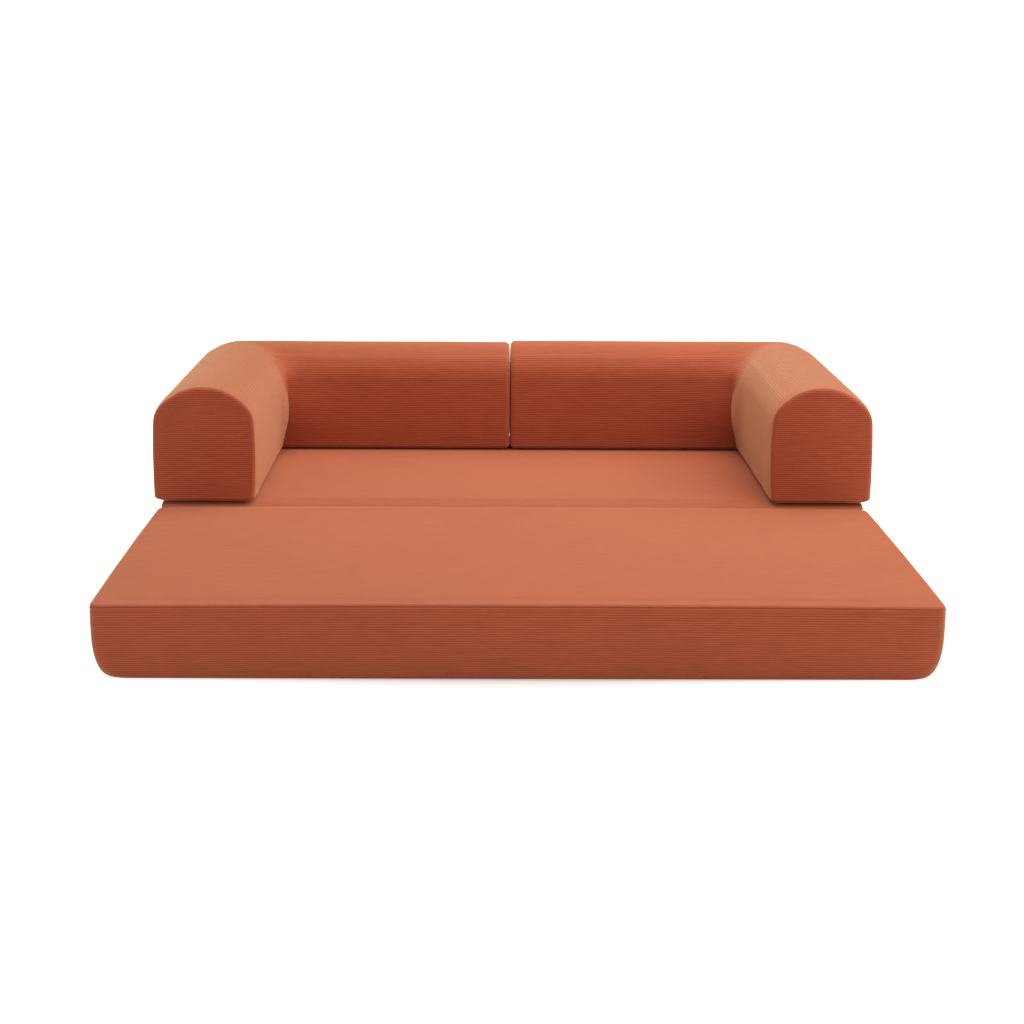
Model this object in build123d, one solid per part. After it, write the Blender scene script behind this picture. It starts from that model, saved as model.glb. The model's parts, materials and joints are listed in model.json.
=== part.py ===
from build123d import *
import os
from math import asin, atan2, cos, degrees, hypot, pi, radians, sin

# A modular sofa bed, all foam in ribbed fabric covers. Two mattresses lie end to end on the floor and
# two L-shaped modules, each an arm and half of the back, stand on the rear one. The front mattress
# folds down and under the rear one on a fabric hinge at the floor, and the modules lift off.
# Millimetres. The origin is on the floor at the middle of the seam between the mattresses, +X is the
# sitter's left as seen from the front (the right-hand module), +Y points to the back and +Z up.

# The two mattresses
mattress_width = 2100.0
front_depth = 1160.0
rear_depth = 1180.0
mattress_height = 199.0
seam_gap = 0.3
corner_radius = 22.0
seam_corner_radius = 36.0
floor_draw_in = 28.0
floor_draw_height = 110.0
floor_corner_radius = 110.0
floor_sections = 8
top_edge_radius = 9.0
crown_across = 4.0
crown_along = 4.0
seat_roll_depth = 55.0
seat_roll_drop = 20.0
comfort_layer = 50.0
layer_clearance = 0.2

# The covers and their undersides
cover_thickness = 3.0
underside_thickness = 2.8
underside_margin = 6.0
underside_clearance = 0.2

# The fabric hinge at the floor under the seam
hinge_leaf_width = 70.0
hinge_leaf_thickness = 1.2
hinge_leaf_inset = 90.0
hinge_clearance = 0.15

# The L-shaped modules
module_thickness = 295.0
module_height = 346.0
base_draw_in = 12.0
shoulder_draw_in = 3.0
widest_share = 0.42
arch_height = 104.0
shoulder_radius = 93.0
base_edge_radius = 16.0
arm_end_radius = 10.0
centre_end_radius = 16.0
arm_overhang = 18.5
arm_setback = 25.0
back_overhang = 7.5

# Hook and loop strips
strip_thickness = 1.2
strip_width = 60.0
strip_inset = 70.0
strip_corner_radius = 8.0
patch_height = 150.0
patch_width = 60.0
patch_base = 80.0
part_gap = 0.3

# Zips, sliders and pull tabs
zip_tape_width = 24.0
zip_tape_depth = 1.0
zip_bead_width = 5.0
zip_bead_height = 1.2
zip_stop_length = 4.0
zip_stop_height = 1.8
front_zip_margin = 125.0
rear_zip_margin = 300.0
module_zip_margin = 78.0
mattress_zip_height = 130.0
module_zip_height = 60.0
slider_length = 14.0
slider_nose = 4.0
slider_width = 10.0
slider_plate = 1.4
slider_clearance = 0.25
post_length = 3.0
post_width = 1.5
pin_radius = 0.8
eye_radius = 2.0
eye_clearance = 0.15
tab_length = 32.0
tab_width = 8.0
tab_neck_width = 4.8
tab_thickness = 1.6

# How far a cutting tool reaches past what it cuts
overrun = 80.0

# Places worked out from the sizes
half_width = mattress_width / 2
half_gap = seam_gap / 2
rear_wall_y = half_gap + rear_depth
module_base_z = mattress_height + 2 * strip_thickness + part_gap
half_thickness = module_thickness / 2
arm_x = half_width + arm_overhang - half_thickness
back_y = rear_wall_y + back_overhang - half_thickness
arm_front_y = half_gap + arm_setback
centre_x = strip_thickness + part_gap / 2
widest_z = widest_share * module_height
front_zip_length = front_depth - 2 * front_zip_margin
rear_zip_length = mattress_width - 2 * rear_zip_margin
module_zip_length = arm_x - centre_x - 2 * module_zip_margin


def arc_mid(centre, start, end):
    """The point halfway along the short arc from start to end round a centre, in a flat drawing."""
    radius = hypot(start[0] - centre[0], start[1] - centre[1])
    middle = ((start[0] + end[0]) / 2 - centre[0], (start[1] + end[1]) / 2 - centre[1])
    length = hypot(*middle)
    return (centre[0] + radius * middle[0] / length, centre[1] + radius * middle[1] / length)


def upright(point, side):
    """A flat drawing's point, stood up in the XZ plane on one side of its middle."""
    return (side * point[0], 0, point[1])


# Mattresses


def slab_depth(side):
    """How deep one mattress is, the front one on side -1 and the rear one on side +1."""
    return front_depth if side < 0 else rear_depth


def crown_tool(width, depth, top_z, inset):
    """A broad shallow dome, whose top gives a mattress its crown both ways."""
    radius_x = half_width ** 2 / (2 * crown_across) - inset
    radius_y = front_depth ** 2 / (8 * crown_along) - inset
    reach = width / 2 + overrun
    edge_z = top_z - reach ** 2 / (2 * radius_x)
    arch = ThreePointArc((reach, 0, edge_z), (0, 0, top_z), (-reach, 0, edge_z))
    rest = Polyline((-reach, 0, edge_z), (-reach, 0, -overrun), (reach, 0, -overrun), (reach, 0, edge_z))
    spin = Axis((0, 0, top_z - radius_y), (1, 0, 0))
    half_angle = degrees(asin((depth / 2 + overrun) / radius_y))
    section = Face(Wire([arch, *rest.edges()]))
    return revolve(section.rotate(spin, -half_angle), spin, 2 * half_angle)


def seam_tool(inset, side):
    """What is cut from one mattress at the seam: all that is past it, and its two rounded corners."""
    width = mattress_width - 2 * inset
    radius = seam_corner_radius - inset
    rounded = Rectangle(width, 4 * radius)
    rounded = fillet(rounded.vertices().group_by(Axis.Y)[-1 if side < 0 else 0], radius)
    reach = radius + 4 * overrun
    beyond = Pos(0, -side * (reach / 2 - radius)) * Rectangle(width + 2 * overrun, reach)
    outline = beyond - Pos(0, side * 2 * radius) * rounded
    seam_y = side * (half_gap + inset)
    return Pos(0, seam_y, -overrun) * extrude(outline, mattress_height + 2 * overrun)


def floor_curve(width, depth, radius):
    """The lower part of a mattress, whose walls curve in to the floor and whose corners get rounder there."""
    sections = []
    for step in range(floor_sections + 1):
        turn = radians(90 * step / floor_sections)
        draw_share = 1 - sin(turn)
        pull = floor_draw_in * draw_share
        corner = radius + (floor_corner_radius - corner_radius) * draw_share
        plan = RectangleRounded(width - 2 * pull, depth - 2 * pull, corner)
        sections.append(Pos(0, 0, floor_draw_height * (1 - cos(turn))) * plan)
    return loft(sections)


def mattress_block(side, inset):
    """One mattress, less an inset: walls drawn in at the floor, crisp top edges and a flat seam face."""
    width = mattress_width - 2 * inset
    depth = slab_depth(side) - 2 * inset + 2 * overrun
    radius = corner_radius - inset / 2
    walls = extrude(RectangleRounded(width, depth, radius), mattress_height - 2 * inset - floor_draw_height)
    block = floor_curve(width, depth, radius) + Pos(0, 0, floor_draw_height) * walls
    far_y = side * (half_gap + slab_depth(side) - inset)
    block = Pos(0, far_y - side * depth / 2, inset) * block
    if side < 0:
        centre_y = side * (half_gap + front_depth / 2)
        dome = crown_tool(mattress_width, front_depth, mattress_height - inset, inset)
        block = block & Pos(0, centre_y, 0) * dome
    top_z = mattress_height - crown_across - crown_along - top_edge_radius
    rim = block.edges().filter_by(lambda edge: edge.center().Z > top_z)
    block = fillet(rim, top_edge_radius - inset) - seam_tool(inset, side)
    if side > 0:
        block = block & seat_roll_tool(inset)
    return block


def seat_roll_tool(inset):
    """The side profile that rolls the seat's front top edge down softly."""
    near_y = half_gap + inset
    far_y = rear_wall_y + overrun
    top_z = mattress_height - inset
    depth = seat_roll_depth - inset
    drop = seat_roll_drop
    start = (near_y, top_z - drop)
    end = (near_y + depth, top_z)
    middle = (near_y + depth * (1 - cos(pi / 4)), top_z - drop * (1 - sin(pi / 4)))
    roll = Spline(
        *[(0, *point) for point in (start, middle, end)], tangents=[(0, 0, 1), (0, 1, 0)]
    )
    rest = Polyline((0, *end), (0, far_y, top_z), (0, far_y, -overrun), (0, near_y, -overrun), (0, *start))
    reach = half_width + overrun
    return extrude(Pos(-reach, 0, 0) * Face(Wire([roll, *rest.edges()])), 2 * reach, dir=(1, 0, 0))


def hinge_strip(side, clearance):
    """The hinge leaf under one mattress, or with a negative clearance the recess that it lies in."""
    length = mattress_width - 2 * (hinge_leaf_inset + clearance)
    width = hinge_leaf_width - clearance
    leaf = Box(length, width, hinge_leaf_thickness, align=(Align.CENTER, Align.MIN, Align.MIN))
    if side < 0:
        leaf = Pos(0, -width, 0) * leaf
    return Pos(0, side * half_gap, 0) * leaf


def underside_sheet(side, margin, thickness):
    """A flat sheet inside the edge of a mattress's bottom face, short of the hinge leaf."""
    inset = floor_draw_in + margin
    depth = slab_depth(side) + overrun
    outline = RectangleRounded(mattress_width - 2 * inset, depth, floor_corner_radius - margin)
    far_y = side * (half_gap + slab_depth(side) - inset)
    sheet = Pos(0, far_y - side * depth / 2, 0) * extrude(outline, thickness)
    seam_strip = hinge_leaf_width + underside_margin + margin
    reach = rear_depth + 2 * overrun
    keep = Box(mattress_width, reach, 2 * overrun)
    return sheet & Pos(0, side * (half_gap + seam_strip + reach / 2), 0) * keep


def foam_layers(side):
    """The firm base foam and the softer comfort layer on it, inside a cover."""
    core = mattress_block(side, cover_thickness + layer_clearance)
    layer_z = mattress_height - cover_thickness - layer_clearance - comfort_layer
    below = Box(
        2 * mattress_width,
        4 * rear_depth,
        mattress_height,
        align=(Align.CENTER, Align.CENTER, Align.MAX),
    )
    base = core & Pos(0, 0, layer_z) * below
    comfort = core - Pos(0, 0, layer_z + layer_clearance) * below
    return base, comfort


def mattress_parts(name, side, spot, zip_length):
    """All the fixed pieces of one mattress, as node names and solids."""
    outer = mattress_block(side, 0)
    base, comfort = foam_layers(side)
    pocket = underside_sheet(side, underside_margin, underside_thickness + underside_clearance)
    underside = underside_sheet(side, underside_margin + underside_clearance, underside_thickness)
    cover = outer - mattress_block(side, cover_thickness) - pocket
    cover = cover - hinge_strip(side, -hinge_clearance) - zip_recess(spot, zip_length)
    return {
        f"{name}_base_foam": base,
        f"{name}_comfort_foam": comfort,
        f"{name}_cover": cover,
        f"{name}_underside": underside,
        f"{name}_hinge_leaf": hinge_strip(side, 0),
        f"{name}_zip_tape": zip_tape(spot, zip_length),
    }


# Modules


def side_arcs():
    """The radius of the side below and above its widest line, and the lean where the arch springs."""
    spring = module_height - arch_height - widest_z
    lower = (widest_z ** 2 + base_draw_in ** 2) / (2 * base_draw_in)
    upper = (spring ** 2 + shoulder_draw_in ** 2) / (2 * shoulder_draw_in)
    return lower, upper, asin(spring / upper)


def module_profile(inset):
    """The arched cross-section of an arm or a back, upright in XZ, drawn in by an inset."""
    lower, upper, lean = side_arcs()
    base = (half_thickness - base_draw_in, 0)
    widest = (half_thickness, widest_z)
    spring = (half_thickness - shoulder_draw_in, module_height - arch_height)
    shoulder = (spring[0] - shoulder_radius * cos(lean), spring[1] - shoulder_radius * sin(lean))
    rise = module_height - shoulder[1]
    crown_radius = (shoulder[0] ** 2 + rise ** 2 - shoulder_radius ** 2) / (2 * (rise - shoulder_radius))
    crown_centre = (0, module_height - crown_radius)
    turn = atan2(shoulder[1] - crown_centre[1], shoulder[0])
    meet = (crown_radius * cos(turn), crown_centre[1] + crown_radius * sin(turn))
    apex = (0, module_height)
    bends = [
        (base, arc_mid((half_thickness - lower, widest_z), base, widest), widest),
        (widest, arc_mid((half_thickness - upper, widest_z), widest, spring), spring),
        (spring, arc_mid(shoulder, spring, meet), meet),
        (meet, arc_mid(crown_centre, meet, apex), apex),
    ]
    edges = [Line((-base[0], 0, 0), (base[0], 0, 0))]
    for side in (1, -1):
        edges += [ThreePointArc(*[upright(point, side) for point in bend]) for bend in bends]
    face = Face(Wire(edges))
    face = fillet(face.vertices().group_by(Axis.Z)[0], base_edge_radius)
    if inset:
        face = offset(face, amount=-inset)
    return face


def rounded_bar(profile, length, end_radius):
    """A profile run along +Y from the origin, with its first end rounded over."""
    bar = extrude(profile, length, dir=(0, 1, 0))
    return fillet(bar.faces().sort_by(Axis.Y)[0].edges(), end_radius)


def mitred_bar(start_y, end_radius, inset):
    """A bar of the arm's section that ends at the module's corner, cut there along the mitre."""
    bar = rounded_bar(module_profile(inset), back_y - start_y - inset, end_radius - inset)
    reach = 2 * (module_thickness + rear_depth)
    keep = Box(2 * reach, reach, 4 * module_height, align=(Align.CENTER, Align.MAX, Align.CENTER))
    return (Pos(arm_x, start_y + inset, 0) * bar) & (Pos(arm_x, back_y, 0) * Rot(0, 0, 45) * keep)


def corner_turn(inset, angle):
    """The outer half of the section, turned about the module's corner."""
    outer_half = Rectangle(module_thickness, 2 * module_height, align=(Align.MIN, Align.CENTER))
    section = module_profile(inset) & Plane.XZ * outer_half
    return Pos(arm_x, back_y, 0) * revolve(section, Axis.Z, angle)


def arm_bar(inset):
    """The arm, from its front end to the mitre."""
    return mitred_bar(arm_front_y, arm_end_radius, inset)


def back_bar(inset):
    """Half of the back, from the middle of the sofa to the mitre, as the arm's section turned over it."""
    return mitred_bar(back_y - (arm_x - centre_x), centre_end_radius, inset)


def over_mitre(solid):
    """A solid mirrored across the mitre plane, which swaps an arm for a back."""
    return mirror(solid, about=Plane(origin=(arm_x, back_y, 0), z_dir=(1, -1, 0)))


def module_shape(inset):
    """The whole L of the right-hand module, drawn in by an inset."""
    whole = arm_bar(inset) + corner_turn(inset, 90) + over_mitre(back_bar(inset))
    return Pos(0, 0, module_base_z) * whole


def module_foams():
    """The arm's foam block and the back's, glued face to face along the mitre."""
    inset = cover_thickness + layer_clearance
    arm = arm_bar(inset) + corner_turn(inset, 45)
    back = over_mitre(back_bar(inset) + corner_turn(inset, 45))
    return Pos(0, 0, module_base_z) * arm, Pos(0, 0, module_base_z) * back


def module_sheet(outer, margin, thickness):
    """A flat sheet inside the edge of a module's bottom face."""
    bottom = outer.faces().sort_by(Axis.Z)[0]
    return extrude(offset(bottom, amount=-margin), thickness, dir=(0, 0, 1))


def module_parts(spot):
    """All the fixed pieces of the right-hand module, as node names and solids."""
    outer = module_shape(0)
    pocket = module_sheet(outer, underside_margin, underside_thickness + underside_clearance)
    arm_foam, back_foam = module_foams()
    return {
        "arm_foam": arm_foam,
        "back_foam": back_foam,
        "cover": outer - module_shape(cover_thickness) - pocket - zip_recess(spot, module_zip_length),
        "underside": module_sheet(outer, underside_margin + underside_clearance, underside_thickness),
        "zip_tape": zip_tape(spot, module_zip_length),
        "arm_hook_strip": arm_strip(module_base_z - strip_thickness),
        "back_hook_strip": back_strip(module_base_z - strip_thickness),
        "join_patch": join_patch(),
    }


def arm_strip(base_z):
    """A hook or loop strip under the arm, on the line of its middle."""
    start_y = arm_front_y + strip_inset
    length = back_y - half_thickness - start_y
    strip = extrude(RectangleRounded(strip_width, length, strip_corner_radius), strip_thickness)
    return Pos(arm_x, start_y + length / 2, base_z) * strip


def back_strip(base_z):
    """A hook or loop strip under the half back, on the line of its middle."""
    start_x = centre_x + strip_inset
    length = arm_x - half_thickness - start_x
    strip = extrude(RectangleRounded(length, strip_width, strip_corner_radius), strip_thickness)
    return Pos(start_x + length / 2, back_y, base_z) * strip


def join_patch():
    """The patch on the half back's end that grips its neighbour at the middle of the sofa."""
    origin = (centre_x, back_y, module_base_z + patch_base + patch_height / 2)
    end = Plane(origin=origin, x_dir=(0, 1, 0), z_dir=(-1, 0, 0))
    return extrude(end * RectangleRounded(patch_width, patch_height, strip_corner_radius), strip_thickness)


# Zips


def mattress_side_spot():
    """The middle of the front mattress's zip, on its right-hand side, facing out along +X."""
    middle_y = -half_gap - front_depth / 2
    return Plane(origin=(half_width, middle_y, mattress_zip_height), x_dir=(0, 1, 0), z_dir=(1, 0, 0))


def mattress_rear_spot():
    """The middle of the rear mattress's zip, on its rear wall, facing out along +Y."""
    return Plane(origin=(0, rear_wall_y, mattress_zip_height), x_dir=(-1, 0, 0), z_dir=(0, 1, 0))


def module_rear_spot():
    """The middle of the right-hand module's zip, square to the lean of its rear wall."""
    lower, upper, lean = side_arcs()
    dip = asin((widest_z - module_zip_height) / lower)
    wall_y = back_y + half_thickness - lower * (1 - cos(dip))
    middle_x = (centre_x + arm_x) / 2
    origin = (middle_x, wall_y, module_base_z + module_zip_height)
    return Plane(origin=origin, x_dir=(-1, 0, 0), z_dir=(0, cos(dip), -sin(dip)))


def zip_recess(spot, length):
    """The shallow bed that a zip's tape lies in."""
    bed = Box(length, zip_tape_width, overrun, align=(Align.CENTER, Align.CENTER, Align.MIN))
    return spot * Pos(0, 0, -zip_tape_depth) * bed


def zip_tape(spot, length):
    """A zip's tape with its closed chain of teeth and a stop at each end."""
    seat = (Align.CENTER, Align.CENTER, Align.MIN)
    tape = Pos(0, 0, -zip_tape_depth) * Box(length, zip_tape_width, zip_tape_depth, align=seat)
    tape += Box(length - 2 * zip_stop_length, zip_bead_width, zip_bead_height, align=seat)
    stop_x = (length - zip_stop_length) / 2
    for end_x in (-stop_x, stop_x):
        tape += Pos(end_x, 0, 0) * Box(zip_stop_length, zip_bead_width, zip_stop_height, align=seat)
    return spot * tape


def slider_place(spot, length):
    """Where the slider stands when the zip is shut, against the stop at the +X end of its own line."""
    shut_x = length / 2 - zip_stop_length - slider_clearance - slider_length / 2
    return spot * Pos(shut_x, 0, 0)


def plate_top():
    """The height of a slider's top plate above the tape."""
    return zip_bead_height + slider_clearance + slider_plate


def pin_height():
    """The height above the tape of the pin that a pull tab hangs on."""
    return plate_top() + slider_clearance + eye_radius


def zip_slider(spot, length):
    """A slider that straddles the teeth, with a bridge for its pull tab."""
    half_length = slider_length / 2
    half_body = slider_width / 2
    nose = half_body - slider_nose / 2
    outline = Polyline(
        (-half_length, -nose),
        (-half_length + slider_nose, -half_body),
        (half_length - slider_nose, -half_body),
        (half_length, -nose),
        (half_length, nose),
        (half_length - slider_nose, half_body),
        (-half_length + slider_nose, half_body),
        (-half_length, nose),
        close=True,
    )
    body = Pos(0, 0, slider_clearance) * extrude(make_face(outline), plate_top() - slider_clearance)
    channel = Box(
        2 * slider_length,
        zip_bead_width + 2 * slider_clearance,
        zip_bead_height + slider_clearance,
        align=(Align.CENTER, Align.CENTER, Align.MIN),
    )
    body -= channel
    post_y = tab_neck_width / 2 + slider_clearance + post_width / 2
    post_height = pin_height() + pin_radius + slider_clearance - plate_top()
    for side in (-1, 1):
        post = Box(post_length, post_width, post_height, align=(Align.CENTER, Align.CENTER, Align.MIN))
        body += Pos(0, side * post_y, plate_top()) * post
    pin = Pos(0, 0, pin_height()) * Rot(90, 0, 0) * Cylinder(pin_radius, 2 * post_y)
    return slider_place(spot, length) * (body + pin)


def zip_pull(spot, length):
    """A pull tab that turns on the slider's pin and lies flat along the shut teeth."""
    neck_end = post_length / 2 + 2 * slider_clearance + eye_radius
    neck = Pos(-neck_end / 2, 0, 0) * Box(neck_end, tab_neck_width, tab_thickness)
    grip_length = tab_length - neck_end
    grip = RectangleRounded(grip_length, tab_width, tab_width / 2 - tab_thickness / 2)
    grip_x = -neck_end - grip_length / 2 + tab_thickness / 2
    blade = Pos(grip_x, 0, -tab_thickness / 2) * extrude(grip, tab_thickness)
    eye = Rot(90, 0, 0) * Cylinder(eye_radius, tab_neck_width)
    bore = Rot(90, 0, 0) * Cylinder(pin_radius + eye_clearance, 2 * tab_neck_width)
    tab = eye + neck + blade - bore
    return slider_place(spot, length) * Pos(0, 0, pin_height()) * tab


def zip_hardware(name, spot, length):
    """The moving slider and pull tab of one zip."""
    return {f"{name}_zip_slider": zip_slider(spot, length), f"{name}_zip_pull": zip_pull(spot, length)}


def build_parts():
    """Every node of the sofa bed, by name."""
    parts = {}
    parts.update(mattress_parts("front", -1, mattress_side_spot(), front_zip_length))
    parts.update(mattress_parts("rear", 1, mattress_rear_spot(), rear_zip_length))
    right = module_parts(module_rear_spot())
    right.update(zip_hardware("module", module_rear_spot(), module_zip_length))
    for node, solid in right.items():
        name = node.removeprefix("module_")
        parts[f"right_{name}"] = solid
        parts[f"left_{name}"] = mirror(solid, about=Plane.YZ)
    parts.update(zip_hardware("front", mattress_side_spot(), front_zip_length))
    parts.update(zip_hardware("rear", mattress_rear_spot(), rear_zip_length))
    loops = {"arm": arm_strip(mattress_height), "back": back_strip(mattress_height)}
    for place, strip in loops.items():
        parts[f"right_{place}_loop_strip"] = strip
        parts[f"left_{place}_loop_strip"] = mirror(strip, about=Plane.YZ)
    return parts


os.makedirs("parts", exist_ok=True)
for node_name, shape in build_parts().items():
    export_step(shape, f"parts/{node_name}.step")
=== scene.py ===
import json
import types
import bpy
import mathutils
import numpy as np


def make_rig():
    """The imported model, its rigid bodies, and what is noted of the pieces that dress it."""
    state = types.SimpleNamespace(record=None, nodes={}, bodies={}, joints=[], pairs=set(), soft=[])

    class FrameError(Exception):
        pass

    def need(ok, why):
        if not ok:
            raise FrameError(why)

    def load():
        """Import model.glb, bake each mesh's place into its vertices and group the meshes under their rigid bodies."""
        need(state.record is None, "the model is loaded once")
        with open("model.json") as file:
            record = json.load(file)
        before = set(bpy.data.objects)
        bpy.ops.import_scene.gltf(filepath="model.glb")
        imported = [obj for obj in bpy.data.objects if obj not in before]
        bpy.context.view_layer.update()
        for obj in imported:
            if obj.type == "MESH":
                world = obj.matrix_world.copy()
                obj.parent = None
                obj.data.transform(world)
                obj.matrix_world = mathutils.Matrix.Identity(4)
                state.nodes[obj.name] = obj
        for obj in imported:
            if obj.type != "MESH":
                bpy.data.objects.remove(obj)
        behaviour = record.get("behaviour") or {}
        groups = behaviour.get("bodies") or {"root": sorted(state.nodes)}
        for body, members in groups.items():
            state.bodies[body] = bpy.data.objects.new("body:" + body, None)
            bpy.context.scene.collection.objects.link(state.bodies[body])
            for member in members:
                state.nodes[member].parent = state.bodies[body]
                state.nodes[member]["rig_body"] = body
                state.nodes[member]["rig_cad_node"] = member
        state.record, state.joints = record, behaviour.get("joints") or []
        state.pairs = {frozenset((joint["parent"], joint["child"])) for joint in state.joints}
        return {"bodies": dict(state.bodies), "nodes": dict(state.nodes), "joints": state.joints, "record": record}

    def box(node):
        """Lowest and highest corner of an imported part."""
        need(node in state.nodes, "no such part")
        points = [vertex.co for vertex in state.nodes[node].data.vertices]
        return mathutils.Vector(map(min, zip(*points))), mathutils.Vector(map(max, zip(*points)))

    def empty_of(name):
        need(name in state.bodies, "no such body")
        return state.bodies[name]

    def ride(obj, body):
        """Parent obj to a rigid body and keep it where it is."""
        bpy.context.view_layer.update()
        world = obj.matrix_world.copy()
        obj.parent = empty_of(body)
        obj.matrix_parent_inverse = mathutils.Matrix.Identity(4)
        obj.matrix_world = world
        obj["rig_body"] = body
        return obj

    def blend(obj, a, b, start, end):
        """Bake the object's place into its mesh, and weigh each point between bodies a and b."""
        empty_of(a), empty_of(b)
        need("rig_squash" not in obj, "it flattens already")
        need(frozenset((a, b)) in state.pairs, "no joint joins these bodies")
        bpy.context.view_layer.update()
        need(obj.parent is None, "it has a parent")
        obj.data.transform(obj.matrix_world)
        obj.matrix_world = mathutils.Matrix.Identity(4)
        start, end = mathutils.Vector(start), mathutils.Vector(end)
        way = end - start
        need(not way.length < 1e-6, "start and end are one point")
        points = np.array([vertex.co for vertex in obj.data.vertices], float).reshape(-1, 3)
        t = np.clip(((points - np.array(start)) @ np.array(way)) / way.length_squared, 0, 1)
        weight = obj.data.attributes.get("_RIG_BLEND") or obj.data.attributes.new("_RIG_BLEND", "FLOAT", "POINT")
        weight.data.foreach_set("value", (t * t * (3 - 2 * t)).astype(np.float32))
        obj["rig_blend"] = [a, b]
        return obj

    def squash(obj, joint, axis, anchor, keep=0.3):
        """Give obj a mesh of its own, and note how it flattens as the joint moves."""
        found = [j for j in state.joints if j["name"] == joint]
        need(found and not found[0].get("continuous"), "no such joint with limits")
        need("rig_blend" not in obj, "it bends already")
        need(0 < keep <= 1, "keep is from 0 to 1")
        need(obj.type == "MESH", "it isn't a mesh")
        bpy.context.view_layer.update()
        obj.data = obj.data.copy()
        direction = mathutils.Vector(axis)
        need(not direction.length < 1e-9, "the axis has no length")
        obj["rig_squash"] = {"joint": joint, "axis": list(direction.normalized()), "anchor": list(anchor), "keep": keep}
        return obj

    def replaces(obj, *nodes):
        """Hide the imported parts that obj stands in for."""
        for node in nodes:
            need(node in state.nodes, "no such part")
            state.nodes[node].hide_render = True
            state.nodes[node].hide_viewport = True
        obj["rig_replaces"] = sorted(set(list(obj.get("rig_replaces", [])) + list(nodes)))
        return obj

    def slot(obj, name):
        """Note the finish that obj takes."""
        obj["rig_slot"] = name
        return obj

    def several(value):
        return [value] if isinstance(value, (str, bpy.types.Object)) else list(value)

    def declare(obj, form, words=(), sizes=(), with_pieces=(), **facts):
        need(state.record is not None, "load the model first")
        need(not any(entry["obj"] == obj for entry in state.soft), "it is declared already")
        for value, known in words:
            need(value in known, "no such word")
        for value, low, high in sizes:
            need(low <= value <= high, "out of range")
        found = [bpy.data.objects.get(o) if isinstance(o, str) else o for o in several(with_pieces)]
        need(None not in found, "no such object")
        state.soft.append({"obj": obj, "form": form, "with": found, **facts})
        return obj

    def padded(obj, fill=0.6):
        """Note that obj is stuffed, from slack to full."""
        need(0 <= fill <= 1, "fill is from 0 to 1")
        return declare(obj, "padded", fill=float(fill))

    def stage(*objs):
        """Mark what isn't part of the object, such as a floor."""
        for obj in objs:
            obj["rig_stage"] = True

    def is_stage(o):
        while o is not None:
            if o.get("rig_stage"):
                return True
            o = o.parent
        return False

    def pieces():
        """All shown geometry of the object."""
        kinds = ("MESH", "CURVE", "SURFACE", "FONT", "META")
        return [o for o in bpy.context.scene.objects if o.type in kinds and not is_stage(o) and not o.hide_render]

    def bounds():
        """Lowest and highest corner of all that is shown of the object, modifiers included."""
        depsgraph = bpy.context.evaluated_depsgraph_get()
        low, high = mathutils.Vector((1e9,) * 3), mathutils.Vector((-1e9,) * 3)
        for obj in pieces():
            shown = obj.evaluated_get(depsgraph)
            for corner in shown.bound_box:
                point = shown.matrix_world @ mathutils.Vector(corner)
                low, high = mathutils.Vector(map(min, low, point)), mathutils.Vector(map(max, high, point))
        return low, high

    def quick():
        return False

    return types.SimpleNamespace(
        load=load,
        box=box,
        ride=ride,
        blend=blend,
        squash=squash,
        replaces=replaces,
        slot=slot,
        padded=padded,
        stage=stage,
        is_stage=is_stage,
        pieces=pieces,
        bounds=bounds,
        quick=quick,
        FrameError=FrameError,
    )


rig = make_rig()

bl_info = {
    "name": "Modular sofa bed",
    "version": (1, 0, 0),
    "blender": (4, 5, 0),
    "location": "View3D > Sidebar > Sofa bed",
    "description": "Ribbed covers, zips, undersides and a pale studio for a modular foam sofa bed",
    "category": "Add Mesh",
}

import json
from math import asin, atan2, cos, pi, radians, sin

import bmesh
import bpy
import numpy as np
from bpy.props import FloatProperty, FloatVectorProperty, IntProperty, PointerProperty
from mathutils import Matrix, Vector
from mathutils.kdtree import KDTree

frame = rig.load()
cad_low, cad_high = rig.bounds()

SIZE_FILE = "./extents.json"
MATTRESSES = ("front", "rear")
SIDES = ("left", "right")


def length(default, description):
    """A size in metres for a property group."""
    return FloatProperty(description=description, default=default, unit="LENGTH", min=0.0)


def triple(default, description):
    """A place or a size along three axes for a property group."""
    return FloatVectorProperty(description=description, default=default, unit="LENGTH")


def share(default, description):
    """A plain number for a property group."""
    return FloatProperty(description=description, default=default)


def colour(default, description):
    """A colour for a property group."""
    return FloatVectorProperty(description=description, default=default, subtype="COLOR", min=0.0, max=1.0)


class CorduroySizes(bpy.types.PropertyGroup):
    """The ribbed cloth's sizes and colours"""

    pitch: length(0.0062, "From one rib to the next")
    depth: length(0.0014, "From a rib's crest to the groove beside it")
    tuck: length(0.0022, "How deep the cloth dips into a seam")
    deepest: length(0.0028, "How far the cloth may dip before it would meet the foam")
    tuck_reach: length(0.0035, "How far from a seam the dip begins")
    # The crest and groove colours paint light and shade on the ribs: the crests lighter as if lit, the grooves darker
    # with painted shade
    crest: colour((0.465, 0.096, 0.044), "Colour of the ribs' crests")
    groove: colour((0.325, 0.065, 0.030), "Colour of the grooves between ribs")
    sheen: share(0.95, "Strength of the soft sheen of the pile")
    sheen_spread: share(0.5, "How widely the sheen spreads")
    sheen_tint: colour((1.0, 0.61, 0.345), "Colour of the sheen")


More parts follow.
